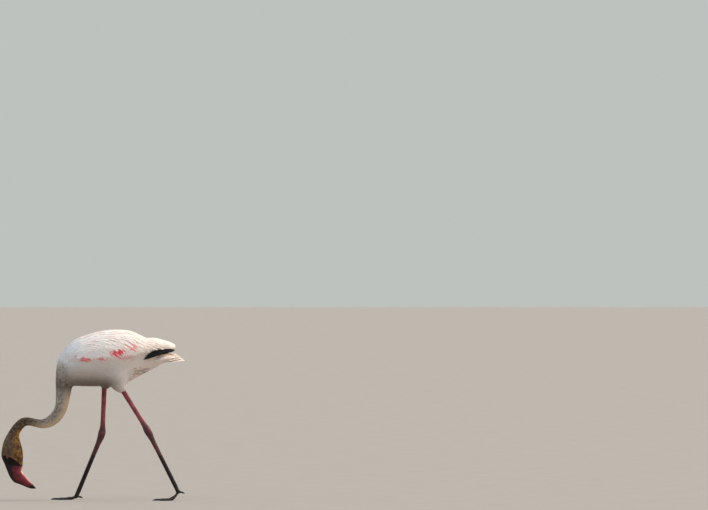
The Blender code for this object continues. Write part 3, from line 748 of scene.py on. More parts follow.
leg_finish, make = new_finish("leg_skin", Roughness=0.5, Coat_Roughness=0.3, Specular_IOR_Level=0.3)
place = make.place()
_, _, z = make.parts(place)
down, angle, plate = make.parts(make.stored("limb", "Vector"))
cells = make.scales(place, 480.0, 0.8)
front = make.step(abs(angle), 1.25, 0.85)
cloud, fine = make.noise(place, 70, 3), make.noise(place, 420, 3)
tibia = make.mottle(cloud, 0.3, 0.7, rgb(122, 50, 56), rgb(154, 74, 76))
ankle = make.mottle(cloud, 0.3, 0.7, rgb(68, 32, 40), rgb(100, 50, 56))
tarsus = make.mottle(cloud, 0.3, 0.7, rgb(70, 32, 40), rgb(100, 52, 58))
colour = make.mottle(down, 0.010, 0.040, make.mottle(down, -0.045, -0.008, tibia, ankle), tarsus)
wet = make.step(z + (cloud - 0.5) * 0.05 + (fine - 0.5) * 0.015, 0.152, 0.108)
colour = make.mix(wet, colour, make.mix(fine, rgb(3, 3, 5), rgb(10, 9, 12)))
joint = make.step(plate, 0.82, 0.97) * front
scale_edge = make.step(cells, 0.10, 0.0) * (1 - front)
line = make.math("MAXIMUM", joint, scale_edge * 0.8)
scale_top = make.step(cells, 0.0, 0.2) * (1 - front * 0.8) - joint * 0.5
make.show(Base_Color=make.mix(line * 0.32, colour, rgb(30, 12, 18)),
          Roughness=0.42 + fine * 0.2 + wet * 0.06, Coat_Weight=0.15 - wet * 0.05,
          Normal=make.relief(scale_top, 0.00022, 0.8))
for name, (_, *places) in LEGS.items():
    points, faces, marks = limb(*places)
    leg = mesh_object("leg_" + name, points, faces)
    outward(leg)
    store(leg, limb=marks)
    fitted(leg, leg_finish, "leg_skin", "shank_" + name, "shin_" + name)


# ---------------------------------------------------------------- feet
# Three long toes joined by a web, and a short one behind, in black scaled skin, with ridges
# at the toes' joints. The soles are flat where they stand. The nails are blunt black horn.
TOE_RADIUS, TOE_TIP, TOE_WIDER, TOE_JOINTS, JOINT_HEIGHT = 0.0045, 0.0026, 1.12, 3, 0.00045
TOE_LIFT, TOE_DROP, TOE_RINGS = 0.42, 1.7, 40
TOES = {"inner": (27, 0.0525), "middle": (0, 0.066), "outer": (-27, 0.056)}
HIND_TOE, HIND_RADIUS, HIND_ASIDE, HIND_DOWN = 0.015, 0.0028, 20, 0.25
HIND_RINGS = ((-0.1, 1.2), (0.3, 1.15), (0.6, 1.0), (1.0, 0.95))
TURN_OUT, FOOT_GRAIN = -5, 0.00062
WEB_START, WEB_REACH, WEB_HOLLOW, WEB_THICK, WEB_SAG, WEB_GRID = 0.02, 0.93, 0.30, 0.0015, 0.0006, (13, 34)
CLAW, HIND_CLAW, CLAW_FLATTER, FLOOR_GAP = 0.0088, 0.0058, 0.9, 0.0001
UP = np.array((0.0, 0.0, 1.0))


def turned(way, degrees):
    c, s = math.cos(math.radians(degrees)), math.sin(math.radians(degrees))
    return np.array((c * way[0] - s * way[1], s * way[0] + c * way[1], way[2]))


def ring_round(centre, up, across, high, wide, sides=16):
    angles = np.arange(sides) * 2 * math.pi / sides
    return [centre + up * high * math.cos(a) + across * wide * math.sin(a) for a in angles]


def toe_line(root, way, length, shares):
    """The middle of a toe at shares of its length, and its radius there."""
    radius = TOE_RADIUS + (TOE_TIP - TOE_RADIUS) * shares
    radius = radius + JOINT_HEIGHT * np.cos(shares * TOE_JOINTS * 2 * math.pi) * (1 - shares)
    line = root * (1, 1, 0) + way * (length * shares)[:, None]
    lift = max(root[2] - TOE_RADIUS, 0) * np.maximum(1 - shares / TOE_LIFT, 0) ** TOE_DROP
    line[:, 2] = radius * 0.9 + lift
    return line, radius


def slab(top, bottom):
    """A closed thin sheet from two grids of points."""
    rows, columns = top.shape[:2]
    points = np.concatenate([top.reshape(-1, 3), bottom.reshape(-1, 3)])
    grid = np.arange(rows * columns).reshape(rows, columns)
    faces, under = [], rows * columns
    for i in range(rows - 1):
        for j in range(columns - 1):
            a, b, c, d = grid[i, j], grid[i, j + 1], grid[i + 1, j + 1], grid[i + 1, j]
            faces += [(a, b, c, d), (d + under, c + under, b + under, a + under)]
    rim = [*grid[0, :], *grid[1:, -1], *grid[-1, -2::-1], *grid[-2:0:-1, 0]]
    faces += [(a, a + under, b + under, b) for a, b in zip(rim, rim[1:] + rim[:1])]
    return list(points), faces


def web(one, two):
    """The skin between two toes, hollowed towards its edge, from the lines that it hangs on."""
    sheet = []
    for t in np.linspace(0, 1, WEB_GRID[0]):
        reach = WEB_REACH * (1 - WEB_HOLLOW * 4 * t * (1 - t))
        at = np.linspace(WEB_START, reach, WEB_GRID[1]) * (TOE_RINGS - 1)
        sag = WEB_SAG * math.sin(math.pi * t)
        sheet.append(through(one, at) * (1 - t) + through(two, at) * t - UP * sag)
    top = np.array(sheet) + UP * WEB_THICK / 2
    return slab(top, top - UP * WEB_THICK)


def foot_form(side, ankle, root):
    """All that a foot is made of, as overlapping closed forms, and where its claws start."""
    ahead = turned(np.array((-1.0, 0.0, 0.0)), side * TURN_OUT)
    shin_way = unit(root - ankle)
    fore = unit(np.cross(ACROSS_WALK, shin_way))
    forms, claws, lines = [], [], []
    for bend, length in TOES.values():
        way = turned(ahead, side * bend)
        line, radius = toe_line(root, way, length, np.linspace(0, 1, TOE_RINGS))
        across = np.cross(way, UP)
        forms.append(loft([ring_round(p, UP, across, r, r * TOE_WIDER) for p, r in zip(line, radius)]))
        claws.append((line[-1], way, TOE_TIP * 0.92, CLAW))
        lines.append(line - UP * (0.35 * TOE_TIP))
    forms += [web(one, two) for one, two in zip(lines, lines[1:])]
    back = unit(turned(ahead, 180 + side * HIND_ASIDE) - UP * HIND_DOWN)
    start = root + UP * 0.001
    across = unit(np.cross(back, UP))
    rings = [ring_round(start + back * HIND_TOE * t, np.cross(across, back), across, HIND_RADIUS * r,
                        HIND_RADIUS * r) for t, r in HIND_RINGS]
    forms.append(loft(rings))
    claws.append((start + back * HIND_TOE, back, HIND_RADIUS * 0.8, HIND_CLAW))
    hub = [(root - shin_way * 0.016, fore, 0.0056, 0.0053), (root - shin_way * 0.008, fore, 0.0061, 0.0060),
           (root, fore, 0.0066, 0.0068), (root - UP * 0.0045 + ahead * 0.001, ahead, 0.0048, 0.0052)]
    forms.append(loft([ring_round(p, f, ACROSS_WALK, d, w) for p, f, d, w in hub]))
    return forms, claws


def claw_form(tip, way, radius, length):
    """A blunt nail that starts inside the end of its toe and droops to a point."""
    across = unit(np.cross(way, UP))
    up = np.cross(across, way)
    rings = []
    for t in np.linspace(-0.12, 1.0, 12):
        size = radius * (1 - 0.80 * max(t, 0.0) ** 1.7)
        centre = tip + way * length * t - up * 0.5 * radius * t * abs(t)
        ring = ring_round(centre, up, across, size, size * CLAW_FLATTER)
        rings.append([np.array((p[0], p[1], max(p[2], FLOOR_GAP))) for p in ring])
    return loft(rings)


foot_finish, make = new_finish("foot_skin", Roughness=0.5, Coat_Roughness=0.3, Specular_IOR_Level=0.3)
place = make.place()
cells = make.scales(place, 560.0, 0.75)
cloud, fine = make.noise(place, 110, 3), make.noise(place, 520, 3)
colour = make.mottle(cloud, 0.3, 0.7, rgb(7, 6, 8), rgb(24, 20, 22))
colour = make.mix(make.step(fine, 0.62, 0.8) * 0.25, colour, rgb(66, 57, 54))
make.show(Base_Color=make.mix(make.step(cells, 0.10, 0.0) * 0.6, colour, rgb(12, 9, 11)),
          Roughness=0.40 + fine * 0.25, Coat_Weight=0.16 - fine * 0.1,
          Normal=make.relief(make.step(cells, 0.0, 0.2), 0.00025, 0.8))

claw_finish, make = new_finish("claw_horn", Roughness=0.35)
streak = make.noise(make.place(), 700, 3)
make.show(Base_Color=make.mix(streak, rgb(14, 11, 12), rgb(58, 48, 44)),
          Roughness=0.28 + streak * 0.2, Normal=make.relief(streak, 0.00008, 0.5))

for name, (side, _, _, ankle, root) in LEGS.items():
    forms, claws = foot_form(side, np.array(ankle), np.array(root))
    foot = mesh_object("webbed_foot_" + name, *all_in_one(forms))
    modified(foot, "REMESH", mode="VOXEL", voxel_size=FOOT_GRAIN)
    modified(foot, "SMOOTH", iterations=3, factor=0.5)
    set_points(foot, np.maximum(point_array(foot), (-FAR, -FAR, 0)))
    fitted(foot, foot_finish, "foot_skin", "foot_" + name)
    nails = mesh_object("claws_" + name, *all_in_one([claw_form(*claw) for claw in claws]))
    outward(nails)
    fitted(nails, claw_finish, "claw_horn", *(f"claw_{toe}_{name}" for toe in (*TOES, "hind")))


# ---------------------------------------------------------------- the finish of the plumage
# White feathers with a cream and rose bloom, crimson-centred coverts on the wing, a neck
# and head stained by the mud, and ochre on the cheek, with painted shade below, at the front
# and along each feather's edges, and painted warm light on the throat side of the neck.
# Skin and feathers share it.
# Each oval patch: middle x, z, half length, half height. The crimson ones have a strength.
CRIMSON_COVERTS = [((0.070, 0.4275, 0.023, 0.0125), 1.0), ((0.078, 0.4330, 0.014, 0.0070), 0.9),
                   ((-0.021, 0.4090, 0.022, 0.0065), 0.85), ((0.027, 0.4110, 0.014, 0.0070), 0.7),
                   ((0.112, 0.4440, 0.014, 0.0100), 0.7), ((0.096, 0.4150, 0.022, 0.0095), 0.35),
                   ((-0.053, 0.4160, 0.008, 0.0050), 0.55)]
BREAST_STAIN, VENT_STAIN = (-0.092, 0.352, 0.030, 0.060), (0.142, 0.372, 0.030, 0.016)


def plumage_colour(make):
    """The colour of a feather, by its place on the bird, and its vane's side and length."""
    mark = make.stored("mark", "Vector")
    x, _, z = make.parts(mark)
    u, v, _ = make.parts(make.stored("vane", "Vector"))
    along, around, tint = make.stored("along"), make.stored("around"), make.stored("tint")
    broad, fine = make.noise(mark, 28), make.noise(mark, 150, 4, 0.7)

    def patch(centre_x, centre_z, half_x, half_z):
        """1 in the middle of an oval patch on the bird's side, falling to 0 at its rim."""
        away_x, away_z = (x - centre_x) / half_x, (z - centre_z) / half_z
        return 1 - (away_x * away_x + away_z * away_z) ** 0.5

    # trunk: rose-white above, cream towards the tail, with painted cool shade at the front and painted shade
    # below that greys it and darkens its lowest front
    # painted shade: greyer towards the belly, stronger towards the front, and darkest at the lowest front
    low = make.step(z, 0.430, 0.334) * (0.15 + 0.72 * make.step(x, 0.105, 0.03))
    painted_deepest_shade = make.step(z, 0.366, 0.338) * make.step(x, 0.10, 0.03)
    # painted shade along the side edges of each feather
    edge = make.step(abs(u), 0.55, 1.0) * make.step(v, 0.35, 0.8)
    # painted cool shade on the front of the trunk
    colour = make.mix(make.step(x, -0.015, -0.075) * 0.8, rgb(243, 237, 230), rgb(222, 230, 234))
    colour = make.mix(make.step(broad, 0.42, 0.72) * 0.32, colour, rgb(247, 216, 209))
    colour = make.mix(make.step(x, 0.02, 0.16) * 0.4, colour, rgb(252, 230, 210))
    colour = make.mix(make.step(tint, 0.55, 1.0) * 0.30, colour, rgb(240, 205, 200))
    colour = make.mix(edge * 0.22, colour, rgb(206, 186, 176))
    colour = make.mix(low, colour, make.mix(tint, rgb(150, 138, 128), rgb(168, 155, 145)))
    colour = make.mix(painted_deepest_shade * (0.65 + 0.2 * tint), colour, rgb(96, 87, 78))

    # crimson centres of the coverts
    red = 0
    for oval, strength in CRIMSON_COVERTS:
        red = make.step(patch(*oval) + (tint - 0.5) * 0.6, 0.00, 0.30) * strength + red
    centre = make.step(abs(u), 0.75, 0.30) * make.step(v, 0.25, 0.5)
    crimson = make.mix(tint, rgb(234, 44, 66), rgb(246, 108, 118))
    colour = make.mix(make.math("MINIMUM", red, 1.0) * centre, colour, crimson)

    # stains: brown flecks where the neck joins the breast and under the tail
    fleck = make.step(abs(u), 0.60, 0.20) * make.step(v, 0.40, 0.65)
    stained = make.step(patch(*BREAST_STAIN), 0.0, 0.55)
    breast = stained * make.step(tint + (fine - 0.5) * 1.2, 0.50, 0.68) * fleck
    vent = make.step(patch(*VENT_STAIN) + (tint - 0.5) * 1.2, 0.35, 0.60) * fleck
    colour = make.mix(stained * 0.55, colour, rgb(146, 134, 120))
    colour = make.mix(breast * 0.55, colour, rgb(92, 78, 66))
    colour = make.mix(vent * 0.60, colour, rgb(122, 100, 86))

    # neck: grey-brown, flecked with mud, with painted warm light on the side of the throat
    neck = make.step(along, NECK_FOOT + 0.030, NECK_FOOT - 0.045)
    flecks = make.step(fine, 0.36, 0.66)
    neck_mud_and_warm_light = make.mix(flecks, rgb(124, 112, 100), rgb(206, 194, 178))
    # painted warm light on the throat side of the neck
    neck_mud_and_warm_light = make.mix(make.step(around, 0.42, 0.76) * 0.95, neck_mud_and_warm_light, rgb(244, 216, 180))
    colour = make.mix(neck * (0.86 + 0.14 * make.step(broad, 0.3, 0.6)), colour, neck_mud_and_warm_light)

    # head and nape: mud brown, ochre on the cheek and chin
    head = make.step(along, NAPE + 0.075, NAPE + 0.005)
    muddy = make.mix(flecks, rgb(56, 44, 34), rgb(140, 114, 84))
    muddy = make.mix(make.step(along, NAPE - 0.02, 0.03) * 0.45, muddy, rgb(132, 102, 68))
    cheek = make.step(around + (broad - 0.5) * 0.35, 0.47, 0.78) * make.step(along, NAPE + 0.01, NAPE - 0.03)
    ochre = make.mottle(fine + (broad - 0.5) * 0.5, 0.38, 0.60, rgb(92, 58, 24), rgb(196, 136, 62))
    return make.mix(head, colour, make.mix(cheek, muddy, ochre)), u, v


plumage, make = new_finish("plumage", Roughness=0.80)
colour, u, v = plumage_colour(make)
barbs = make.math("SINE", (v * 5.0 - abs(u)) * 38.0)
make.show(Base_Color=make.mix(make.step(barbs, -1.0, 1.0) * 0.04, colour, rgb(150, 130, 120)),
          Normal=make.relief(barbs, 0.00005, 0.4))

# The skin has the same colours, painted shade and light included, and dark crimson creased leather where the
# face is bare.
skin_finish, make = new_finish("skin", Roughness=0.60, Specular_IOR_Level=0.2)
colour, _, _ = plumage_colour(make)
place, bare = make.place(), make.stored("bare")
x, _, z = make.parts(place)
creases = make.scales(place, 620.0, 0.9)
leather = make.mottle(make.noise(place, 130, 4), 0.35, 0.7, rgb(9, 5, 7), rgb(30, 11, 16))
leather = make.mix(make.step(z, 0.110, 0.098) * make.step(x, -0.240, -0.222), leather, rgb(52, 14, 24))
leather = make.mix(make.step(creases, 0.10, 0.0) * 0.5, leather, rgb(4, 2, 3))
make.show(Base_Color=make.mix(bare, colour, leather), Roughness=0.80 - bare * 0.30,
          Normal=make.relief(make.step(creases, 0.0, 0.22) * bare, 0.00018, 0.8))
skin.data.materials.clear()
skin.data.materials.append(skin_finish)


# ---------------------------------------------------------------- feather patterns
# The kinds of small feather that the coat is made of: each a thin closed vane, one long and
# one wide, arched across and frayed at its tip.
TIP_ROUNDNESS, UNDERSIDE = 0.34, -1.2


def plume(name, breadth, rows, columns, fray, seed):
    """One pattern. Breadth gives its width at each share of its length."""
    chance = np.random.default_rng(seed)
    points = []
    for i in range(rows + 1):
        share = i / rows
        for j in range(columns + 1):
            side = 2 * j / columns - 1
            reach = share * (1 - TIP_ROUNDNESS * share * abs(side) ** 2.5)
            if i == rows:
                reach -= fray * chance.random() ** 2
            arch = (1 - side * side) * math.sin(math.pi * (0.12 + 0.76 * share))
            points.append((side * breadth(share) / 2, reach, arch))
    row = columns + 1
    top = [[i * row + j for j in range(row)] for i in range(rows + 1)]
    under = [line[:] for line in top]
    for line in under:
        for j in range(1, columns):
            points.append((*points[line[j]][:2], UNDERSIDE))
            line[j] = len(points) - 1
    cells = [(i, j) for i in range(rows) for j in range(columns)]
    faces = [(top[i][j], top[i][j + 1], top[i + 1][j + 1], top[i + 1][j]) for i, j in cells]
    faces += [(under[i][j + 1], under[i][j], under[i + 1][j], under[i + 1][j + 1]) for i, j in cells]
    for above, below in ((top[0][::-1], under[0][::-1]), (top[-1], under[-1])):
        for j in range(columns):
            faces.append(tuple(dict.fromkeys((above[j], above[j + 1], below[j + 1], below[j]))))
    made = kept_aside(name, points, faces, breadth(0.5) / 2)
    crease_rims(made, len(cells))
    return made


def kept_aside(name, points, faces, half):
    """A pattern that isn't in the scene itself, with the marks of its vane."""
    made = mesh_object(name, points, faces)
    store(made, vane=[(x / half, y, z) for x, y, z in points])
    scene.collection.objects.unlink(made)
    return made


def crease_rims(made, tops):
    """Marks the edges between the upper faces of a vane, which come first, and all the others."""
    upper = {}
    for face in made.data.polygons:
        for key in face.edge_keys:
            upper.setdefault(key, set()).add(face.index < tops)
    sharp = [len(upper[edge.key]) == 2 for edge in made.data.edges]
    made.data.attributes.new("sharp_edge", "BOOLEAN", "EDGE").data.foreach_set("value", sharp)


def tuft(name, barbs, spread, seed):
    """A pattern for the shortest feathers: a few pointed barbs that part from one root."""
    chance = np.random.default_rng(seed)
    points, faces = [], []
    for k in range(barbs):
        lean = spread * (2 * k / (barbs - 1) - 1 + 0.3 * (chance.random() - 0.5))
        long = 1.0 - 0.25 * chance.random() - 0.15 * abs(lean)
        first = len(points)
        for share, half in ((0.0, 0.10), (0.55, 0.17)):
            for x, z in ((-half, 0.0), (half, 0.0), (0.0, 1.0)):
                points.append((x + lean * share, share * long, z))
        points.append((lean, long, 0.3))
        faces += [(first + a, first + b, first + b + 3, first + a + 3) for a, b in ((1, 0), (2, 1), (0, 2))]
        faces += [(first + a, first + b, first + 6) for a, b in ((4, 3), (5, 4), (3, 5))]
        faces.append((first, first + 1, first + 2))
    return kept_aside(name, points, faces, 0.5)


def pattern_set(name, make_one, *shape):
    """A collection of three patterns of one kind."""
    kept = bpy.data.collections.new(name)
    for seed in range(3):
        kept.objects.link(make_one(f"{name}_{seed}", *shape, seed))
    return kept


def round_vane(share):
    return 0.25 + 0.75 * math.sin(math.pi * (0.12 + 0.62 * share)) ** 0.8


def lance_vane(share):
    return 0.30 + 0.70 * math.sin(math.pi * (0.10 + 0.76 * share)) ** 0.8


TUFT = pattern_set("tuft", tuft, 3, 0.30)
DOWN = pattern_set("down", plume, round_vane, 3, 6, 0.16)
COVERT = pattern_set("covert", plume, lance_vane, 4, 6, 0.08)
SCAPULAR = pattern_set("scapular", plume, lance_vane, 6, 6, 0.05)


# ---------------------------------------------------------------- the coat
# Small feathers over the whole body. Each grows from the skin, lies back over the roots of
# the next ones and ends at the coat's surface, so that its tip alone shows.
INPUTS = {"Skin": "Geometry", "Patterns": "Collection", "Plot": "String", "Spacing": "Float",
          "Length": "Float", "Width": "Float", "Arch": "Float", "Steep": "Float", "Unrest": "Float",
          "Finish": "Material", "Seed": "Int"}
LENGTH_SPREAD, VANE_THICK = (0.88, 1.12), 0.0001


def coat_tree():
    tree = bpy.data.node_groups.new("coat", "GeometryNodeTree")
    make = Maker(tree)
    for name, kind in INPUTS.items():
        tree.interface.new_socket(name, in_out="INPUT", socket_type="NodeSocket" + kind)
    tree.interface.new_socket("Coat", in_out="OUTPUT", socket_type="NodeSocketGeometry")
    given = make.add("NodeGroupInput")
    body, spacing, seed, thin = (given.out(name) for name in ("Skin", "Spacing", "Seed", "Arch"))

    def named(name, kind="FLOAT"):
        return make.add("GeometryNodeInputNamedAttribute", {"data_type": kind}, {"Name": name})

    def keep(geometry, name, value, kind="FLOAT"):
        return make.add("GeometryNodeStoreNamedAttribute", {"data_type": kind, "domain": "POINT"},
                        {"Geometry": geometry, "Name": name, "Value": value})

    def chance(low, high, salt):
        return make.add("FunctionNodeRandomValue", {"data_type": "FLOAT"},
                        {"Min": low, "Max": high, "Seed": seed + salt}, output=1)

    def vector(operation, *values, output="Vector"):
        return make.add("ShaderNodeVectorMath", {"operation": operation}, dict(enumerate(values)), output)

    def scaled(wire, size):
        return make.add("ShaderNodeVectorMath", {"operation": "SCALE"}, {0: wire, "Scale": size})

    def nearest(surface, name, kind="FLOAT"):
        return make.add("GeometryNodeSampleNearestSurface", {"data_type": kind},
                        {"Mesh": surface, "Value": named(name, kind)})

    # the roots, and what each feather remembers of its own
    away, lie = named("away", "FLOAT_VECTOR"), named("lie", "FLOAT_VECTOR")
    roots = make.add("GeometryNodeDistributePointsOnFaces", {"distribute_method": "POISSON"},
                     {"Mesh": body, "Distance Min": spacing, "Density Max": 3.0 / (spacing * spacing),
                      "Density Factor": named(given.out("Plot")), "Seed": seed})
    length = given.out("Length") * named("grow") * chance(*LENGTH_SPREAD, 11)
    width = given.out("Width") * named("broaden") * chance(*LENGTH_SPREAD, 12)
    place = make.add("GeometryNodeInputPosition")
    grown = keep(roots, "root", place, "FLOAT_VECTOR")
    grown = keep(grown, "mark", vector("ADD", place, scaled(lie, length * 0.7)), "FLOAT_VECTOR")
    grown = keep(grown, "tint", chance(0.0, 1.0, 13))
    grown = keep(grown, "roll", chance(-1.0, 1.0, 14))

    # the vanes, flat on the roots
    stand = make.add("FunctionNodeAxesToRotation", {"primary_axis": "Z", "secondary_axis": "Y"},
                     {0: away, 1: lie})
    turn = make.add("FunctionNodeEulerToRotation", {},
                    {0: make.vector(0.0, 0.0, chance(-1.0, 1.0, 15) * given.out("Unrest"))})
    stand = make.add("FunctionNodeRotateRotation", {"rotation_space": "LOCAL"}, {0: stand, 1: turn})
    patterns = make.add("GeometryNodeCollectionInfo", {},
                        {"Collection": given.out("Patterns"), "Separate Children": True,
                         "Reset Children": True})
    vanes = make.add("GeometryNodeInstanceOnPoints", {},
                     {"Points": grown, "Instance": patterns, "Pick Instance": True, "Rotation": stand,
                      "Scale": make.vector(width, length, VANE_THICK)})
    coat = make.add("GeometryNodeRealizeInstances", {}, {"Geometry": vanes})

    # each vane laid on the ground that it grows over, rising from root to tip
    side, share, arch = make.parts(named("vane", "FLOAT_VECTOR"))
    ground = make.add("GeometryNodeSeparateGeometry", {"domain": "POINT"},
                      {"Geometry": body, "Selection": make.math("GREATER_THAN", named("ground"), 0.5)})
    touch = make.add("GeometryNodeProximity", {"target_element": "FACES"}, {0: ground}, output="Position")
    out = vector("NORMALIZE", nearest(ground, "away", "FLOAT_VECTOR"))
    own_out = vector("NORMALIZE", away)
    level = 1 - given.out("Steep") * (1 - share)
    rise = nearest(ground, "deep") * level * (0.92 + named("tint") * 0.08)
    rise = rise + arch * thin + side * named("roll") * thin * 0.5
    here = make.add("GeometryNodeInputPosition")
    over = vector("DOT_PRODUCT", vector("SUBTRACT", here, touch), out, output="Value")
    lying = make.step(vector("DOT_PRODUCT", own_out, out, output="Value"), 0.15, 0.65)
    straight = vector("ADD", here, scaled(own_out, rise))
    laid = vector("ADD", here, scaled(out, rise - over))
    where = make.add("ShaderNodeMix", {"data_type": "VECTOR"}, {0: lying, 4: straight, 5: laid}, output=1)
    coat = make.add("GeometryNodeSetPosition", {}, {"Geometry": coat, "Position": where})
    coat = make.add("GeometryNodeSetMaterial", {}, {"Geometry": coat, "Material": given.out("Finish")})
    tree.links.new(coat.socket, tree.nodes.new("NodeGroupOutput").inputs[0])
    return tree


COAT_TREE = coat_tree()
BAKE_PATCH, BAKE_RIM = 0.003, 0.01
SPARE = ("lie", "away", "deep", "roll", "root", "plot", "ground", "grow", "broaden")


def grow_coat(name, patterns, plot, ground, seed, **sizes):
    """One piece of the coat, on the part of the skin where the plot is more than nothing. Its
    feathers lie on the ground, so that none jumps from the wing to the rump or back."""
    store(skin, plot=plot, ground=ground)
    grown = placed(name, skin.data.copy())
    step = grown.modifiers.new("coat", "NODES")
    step.node_group = COAT_TREE
    values = {"Patterns": patterns, "Plot": "plot", "Finish": plumage, "Seed": seed, **sizes}
    for socket in COAT_TREE.interface.items_tree:
        if socket.name in values:
            step[socket.identifier] = values[socket.name]
    for spare in ("plot", "ground"):
        skin.data.attributes.remove(skin.data.attributes[spare])
    settle(grown)
    lay_out(grown)
    for spare in SPARE:
        grown.data.attributes.remove(grown.data.attributes[spare])
    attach(grown, "root")


def lay_out(grown):
    """Gives a coat its map: each feather a small patch where its root is on the skin, laid out
    by the distance along the bird and the angle round it."""
    root, vane = (vectors(grown.data.attributes[name].data, "vector") for name in ("root", "vane"))
    distance, around, _ = along_body(root)
    span = max(np.ptp(distance), 1e-6)
    room = 1 - 2 * BAKE_RIM
    across = BAKE_RIM + room * (distance - distance.min()) / span + vane[:, 1] * BAKE_PATCH
    up = BAKE_RIM + room * (around / (2 * math.pi) + 0.5) + vane[:, 0] * BAKE_PATCH / 2
    map_out(grown, np.stack([across, up], axis=1))


def map_out(made, places):
    """Gives a mesh the map for its bake, from a place on it for each point."""
    corner = np.empty(len(made.data.loops), np.int32)
    made.data.loops.foreach_get("vertex_index", corner)
    plan = made.data.uv_layers.new(name="OFBake")
    plan.data.foreach_set("uv", np.asarray(places, np.float32)[corner].ravel())


# No feather may reach past the end of the folded wings, or past the tail's coverts, or over
# the black band: the white of the wing ends on a slanting line in front of it.
LOBE_END, COVERT_END, BACK_END, LOBE_FRONT, LOBE_UNDER = 0.2080, 0.2400, 0.221, 0.155, 0.4415
BAND_TOP = np.array([(0.120, 0.380), (0.1525, 0.4095), (0.1825, 0.4365), (0.260, 0.4365)])
BAND_START, EDGE_ROOM = 0.04, 0.0035
COVERT_LONG, SCAPULAR_LONG, SHORTEST = 0.024, 0.056, 0.15
# The long feathers of the back grow above a line that falls a little towards the tail.
BACK_LINE, BACK_FALL, BACK_X, BLEND = 0.4565, 0.04, (-0.050, -0.020), 0.004
LOBE_BACK_X, LOBE_BACK_Z, BACK_TO = (0.130, 0.145), (0.442, 0.447), (0.180, 0.188)
x, z = spots[:, 0], spots[:, 2]
scapular = ramp(x, *BACK_X) * ramp(z - BACK_LINE + BACK_FALL * x, -BLEND, BLEND)
scapular = np.maximum(scapular, ramp(x, *LOBE_BACK_X) * ramp(z, *LOBE_BACK_Z))
on_lobe = z > LOBE_FLOOR
full = np.where((scapular > 0.02) & (wing > 0.05), SCAPULAR_LONG, COVERT_LONG)
room = (np.where(on_lobe, LOBE_END, COVERT_END) - x) / full
for share in np.linspace(1.0, SHORTEST, 20):
    tip = spots + lie * (full * share)[:, None]
    border = np.maximum(np.interp(tip[:, 0], WING_EDGE[:, 0], WING_EDGE[:, 1]) - EDGE_ROOM,
                        np.interp(tip[:, 0], BAND_TOP[:, 0], BAND_TOP[:, 1]))
    over = (wing > 0.5) & (x > BAND_START) & (tip[:, 2] < border)
    room = np.where(over, np.minimum(room, share - 0.05), room)
room = np.clip(room, SHORTEST, 1.0)
short = (0.45 + 0.55 * ramp(above_face(spots), 0.0, 0.03)) * (1 - 0.45 * thigh[:, 0])
short *= 1 - 0.35 * (1 - ramp(distance, NECK_FOOT, SHOULDER)) * (distance > NECK_FOOT)
store(skin, grow=np.minimum(short, room), broaden=0.4 + 0.6 * short)

# Where each kind of feather grows. The flesh that faces backwards is left to the quills.
BREAST_TO, RUMP_FROM, FACING_BACK, QUILLS_FROM = (0.026, 0.032), (0.150, 0.175), 0.45, 0.200
facing_back = (away[:, 0] > FACING_BACK) & (x > QUILLS_FROM)
trunk = ramp(distance, NECK_FOOT + 0.002, NECK_FOOT + 0.045) * ~facing_back * (x < BACK_END)
past_nape = ramp(distance, NAPE - BLEND, NAPE + BLEND)
on_head = (1 - past_nape) * feathered
on_neck = past_nape * (1 - ramp(distance, NECK_FOOT + 0.010, NECK_FOOT + 0.050))
under = trunk * (1 - wing)
behind, ahead = ramp(x, *RUMP_FROM), 1 - ramp(x, *BREAST_TO)
coverts = trunk * wing * (1 - scapular) * ~(on_lobe & (x > LOBE_FRONT))
scapulars = trunk * wing * scapular * (1 - ramp(x, *BACK_TO))
scapulars *= ~((x > LOBE_FRONT) & on_lobe & (z < LOBE_UNDER))
whole, upper, lower = np.ones(len(spots)), wing > 0.05, wing < 0.95
DOWN_SIZES = (0.0031, 0.020, 0.0078, 0.00025, 0.5, 0.15)
# Pattern, where it grows, what it lies on, seed, and the sizes that SIZES names.
SIZES = ("Spacing", "Length", "Width", "Arch", "Steep", "Unrest")
COATS = {
    "head_feathers": (TUFT, on_head, whole, 1, 0.00115, 0.0058, 0.0030, 0.0003, 0.9, 0.25),
    "neck_feathers": (TUFT, on_neck, whole, 2, 0.0019, 0.0110, 0.0050, 0.0004, 0.8, 0.2),
    "breast_feathers": (DOWN, under * ahead, lower, 3, *DOWN_SIZES),
    "belly_feathers": (DOWN, under * (1 - ahead) * (1 - behind), lower, 6, *DOWN_SIZES),
    "tail_coverts": (COVERT, under * behind, lower, 7, 0.0036, COVERT_LONG, 0.0085, 0.0006, 0.6, 0.10),
    "covert_feathers": (COVERT, coverts, upper, 4, 0.0038, COVERT_LONG, 0.0078, 0.0003, 0.65, 0.12),
    "scapular_feathers": (SCAPULAR, scapulars, upper, 5, 0.0072, SCAPULAR_LONG, 0.0115, 0.0005, 0.75, 0.10)}
for name, (patterns, plot, ground, seed, *sizes) in COATS.items():
    grow_coat(name, patterns, plot, ground, seed, **dict(zip(SIZES, sizes)))


# ---------------------------------------------------------------- flight feathers
# The ends of the folded black primaries, which show as a band under the long white feathers
# of the back: stiff narrow vanes on a shaft, stacked so that each lies a little further back.
# Each from the outermost: root x, z, tip x, z.
PRIMARIES = [(0.1465, 0.4075, 0.1990, 0.4275), (0.1480, 0.4080, 0.2110, 0.4292),
             (0.1500, 0.4130, 0.2220, 0.4304), (0.1520, 0.4180, 0.2300, 0.4318),
             (0.1560, 0.4230, 0.2345, 0.4336), (0.1600, 0.4275, 0.2330, 0.4358)]
PRIMARY_WIDE, PRIMARY_BOW, ROOT_SUNK, FIRST_PROUD, PRIMARY_STEP = 0.0085, 1.35, 0.0050, 0.0022, 0.0007
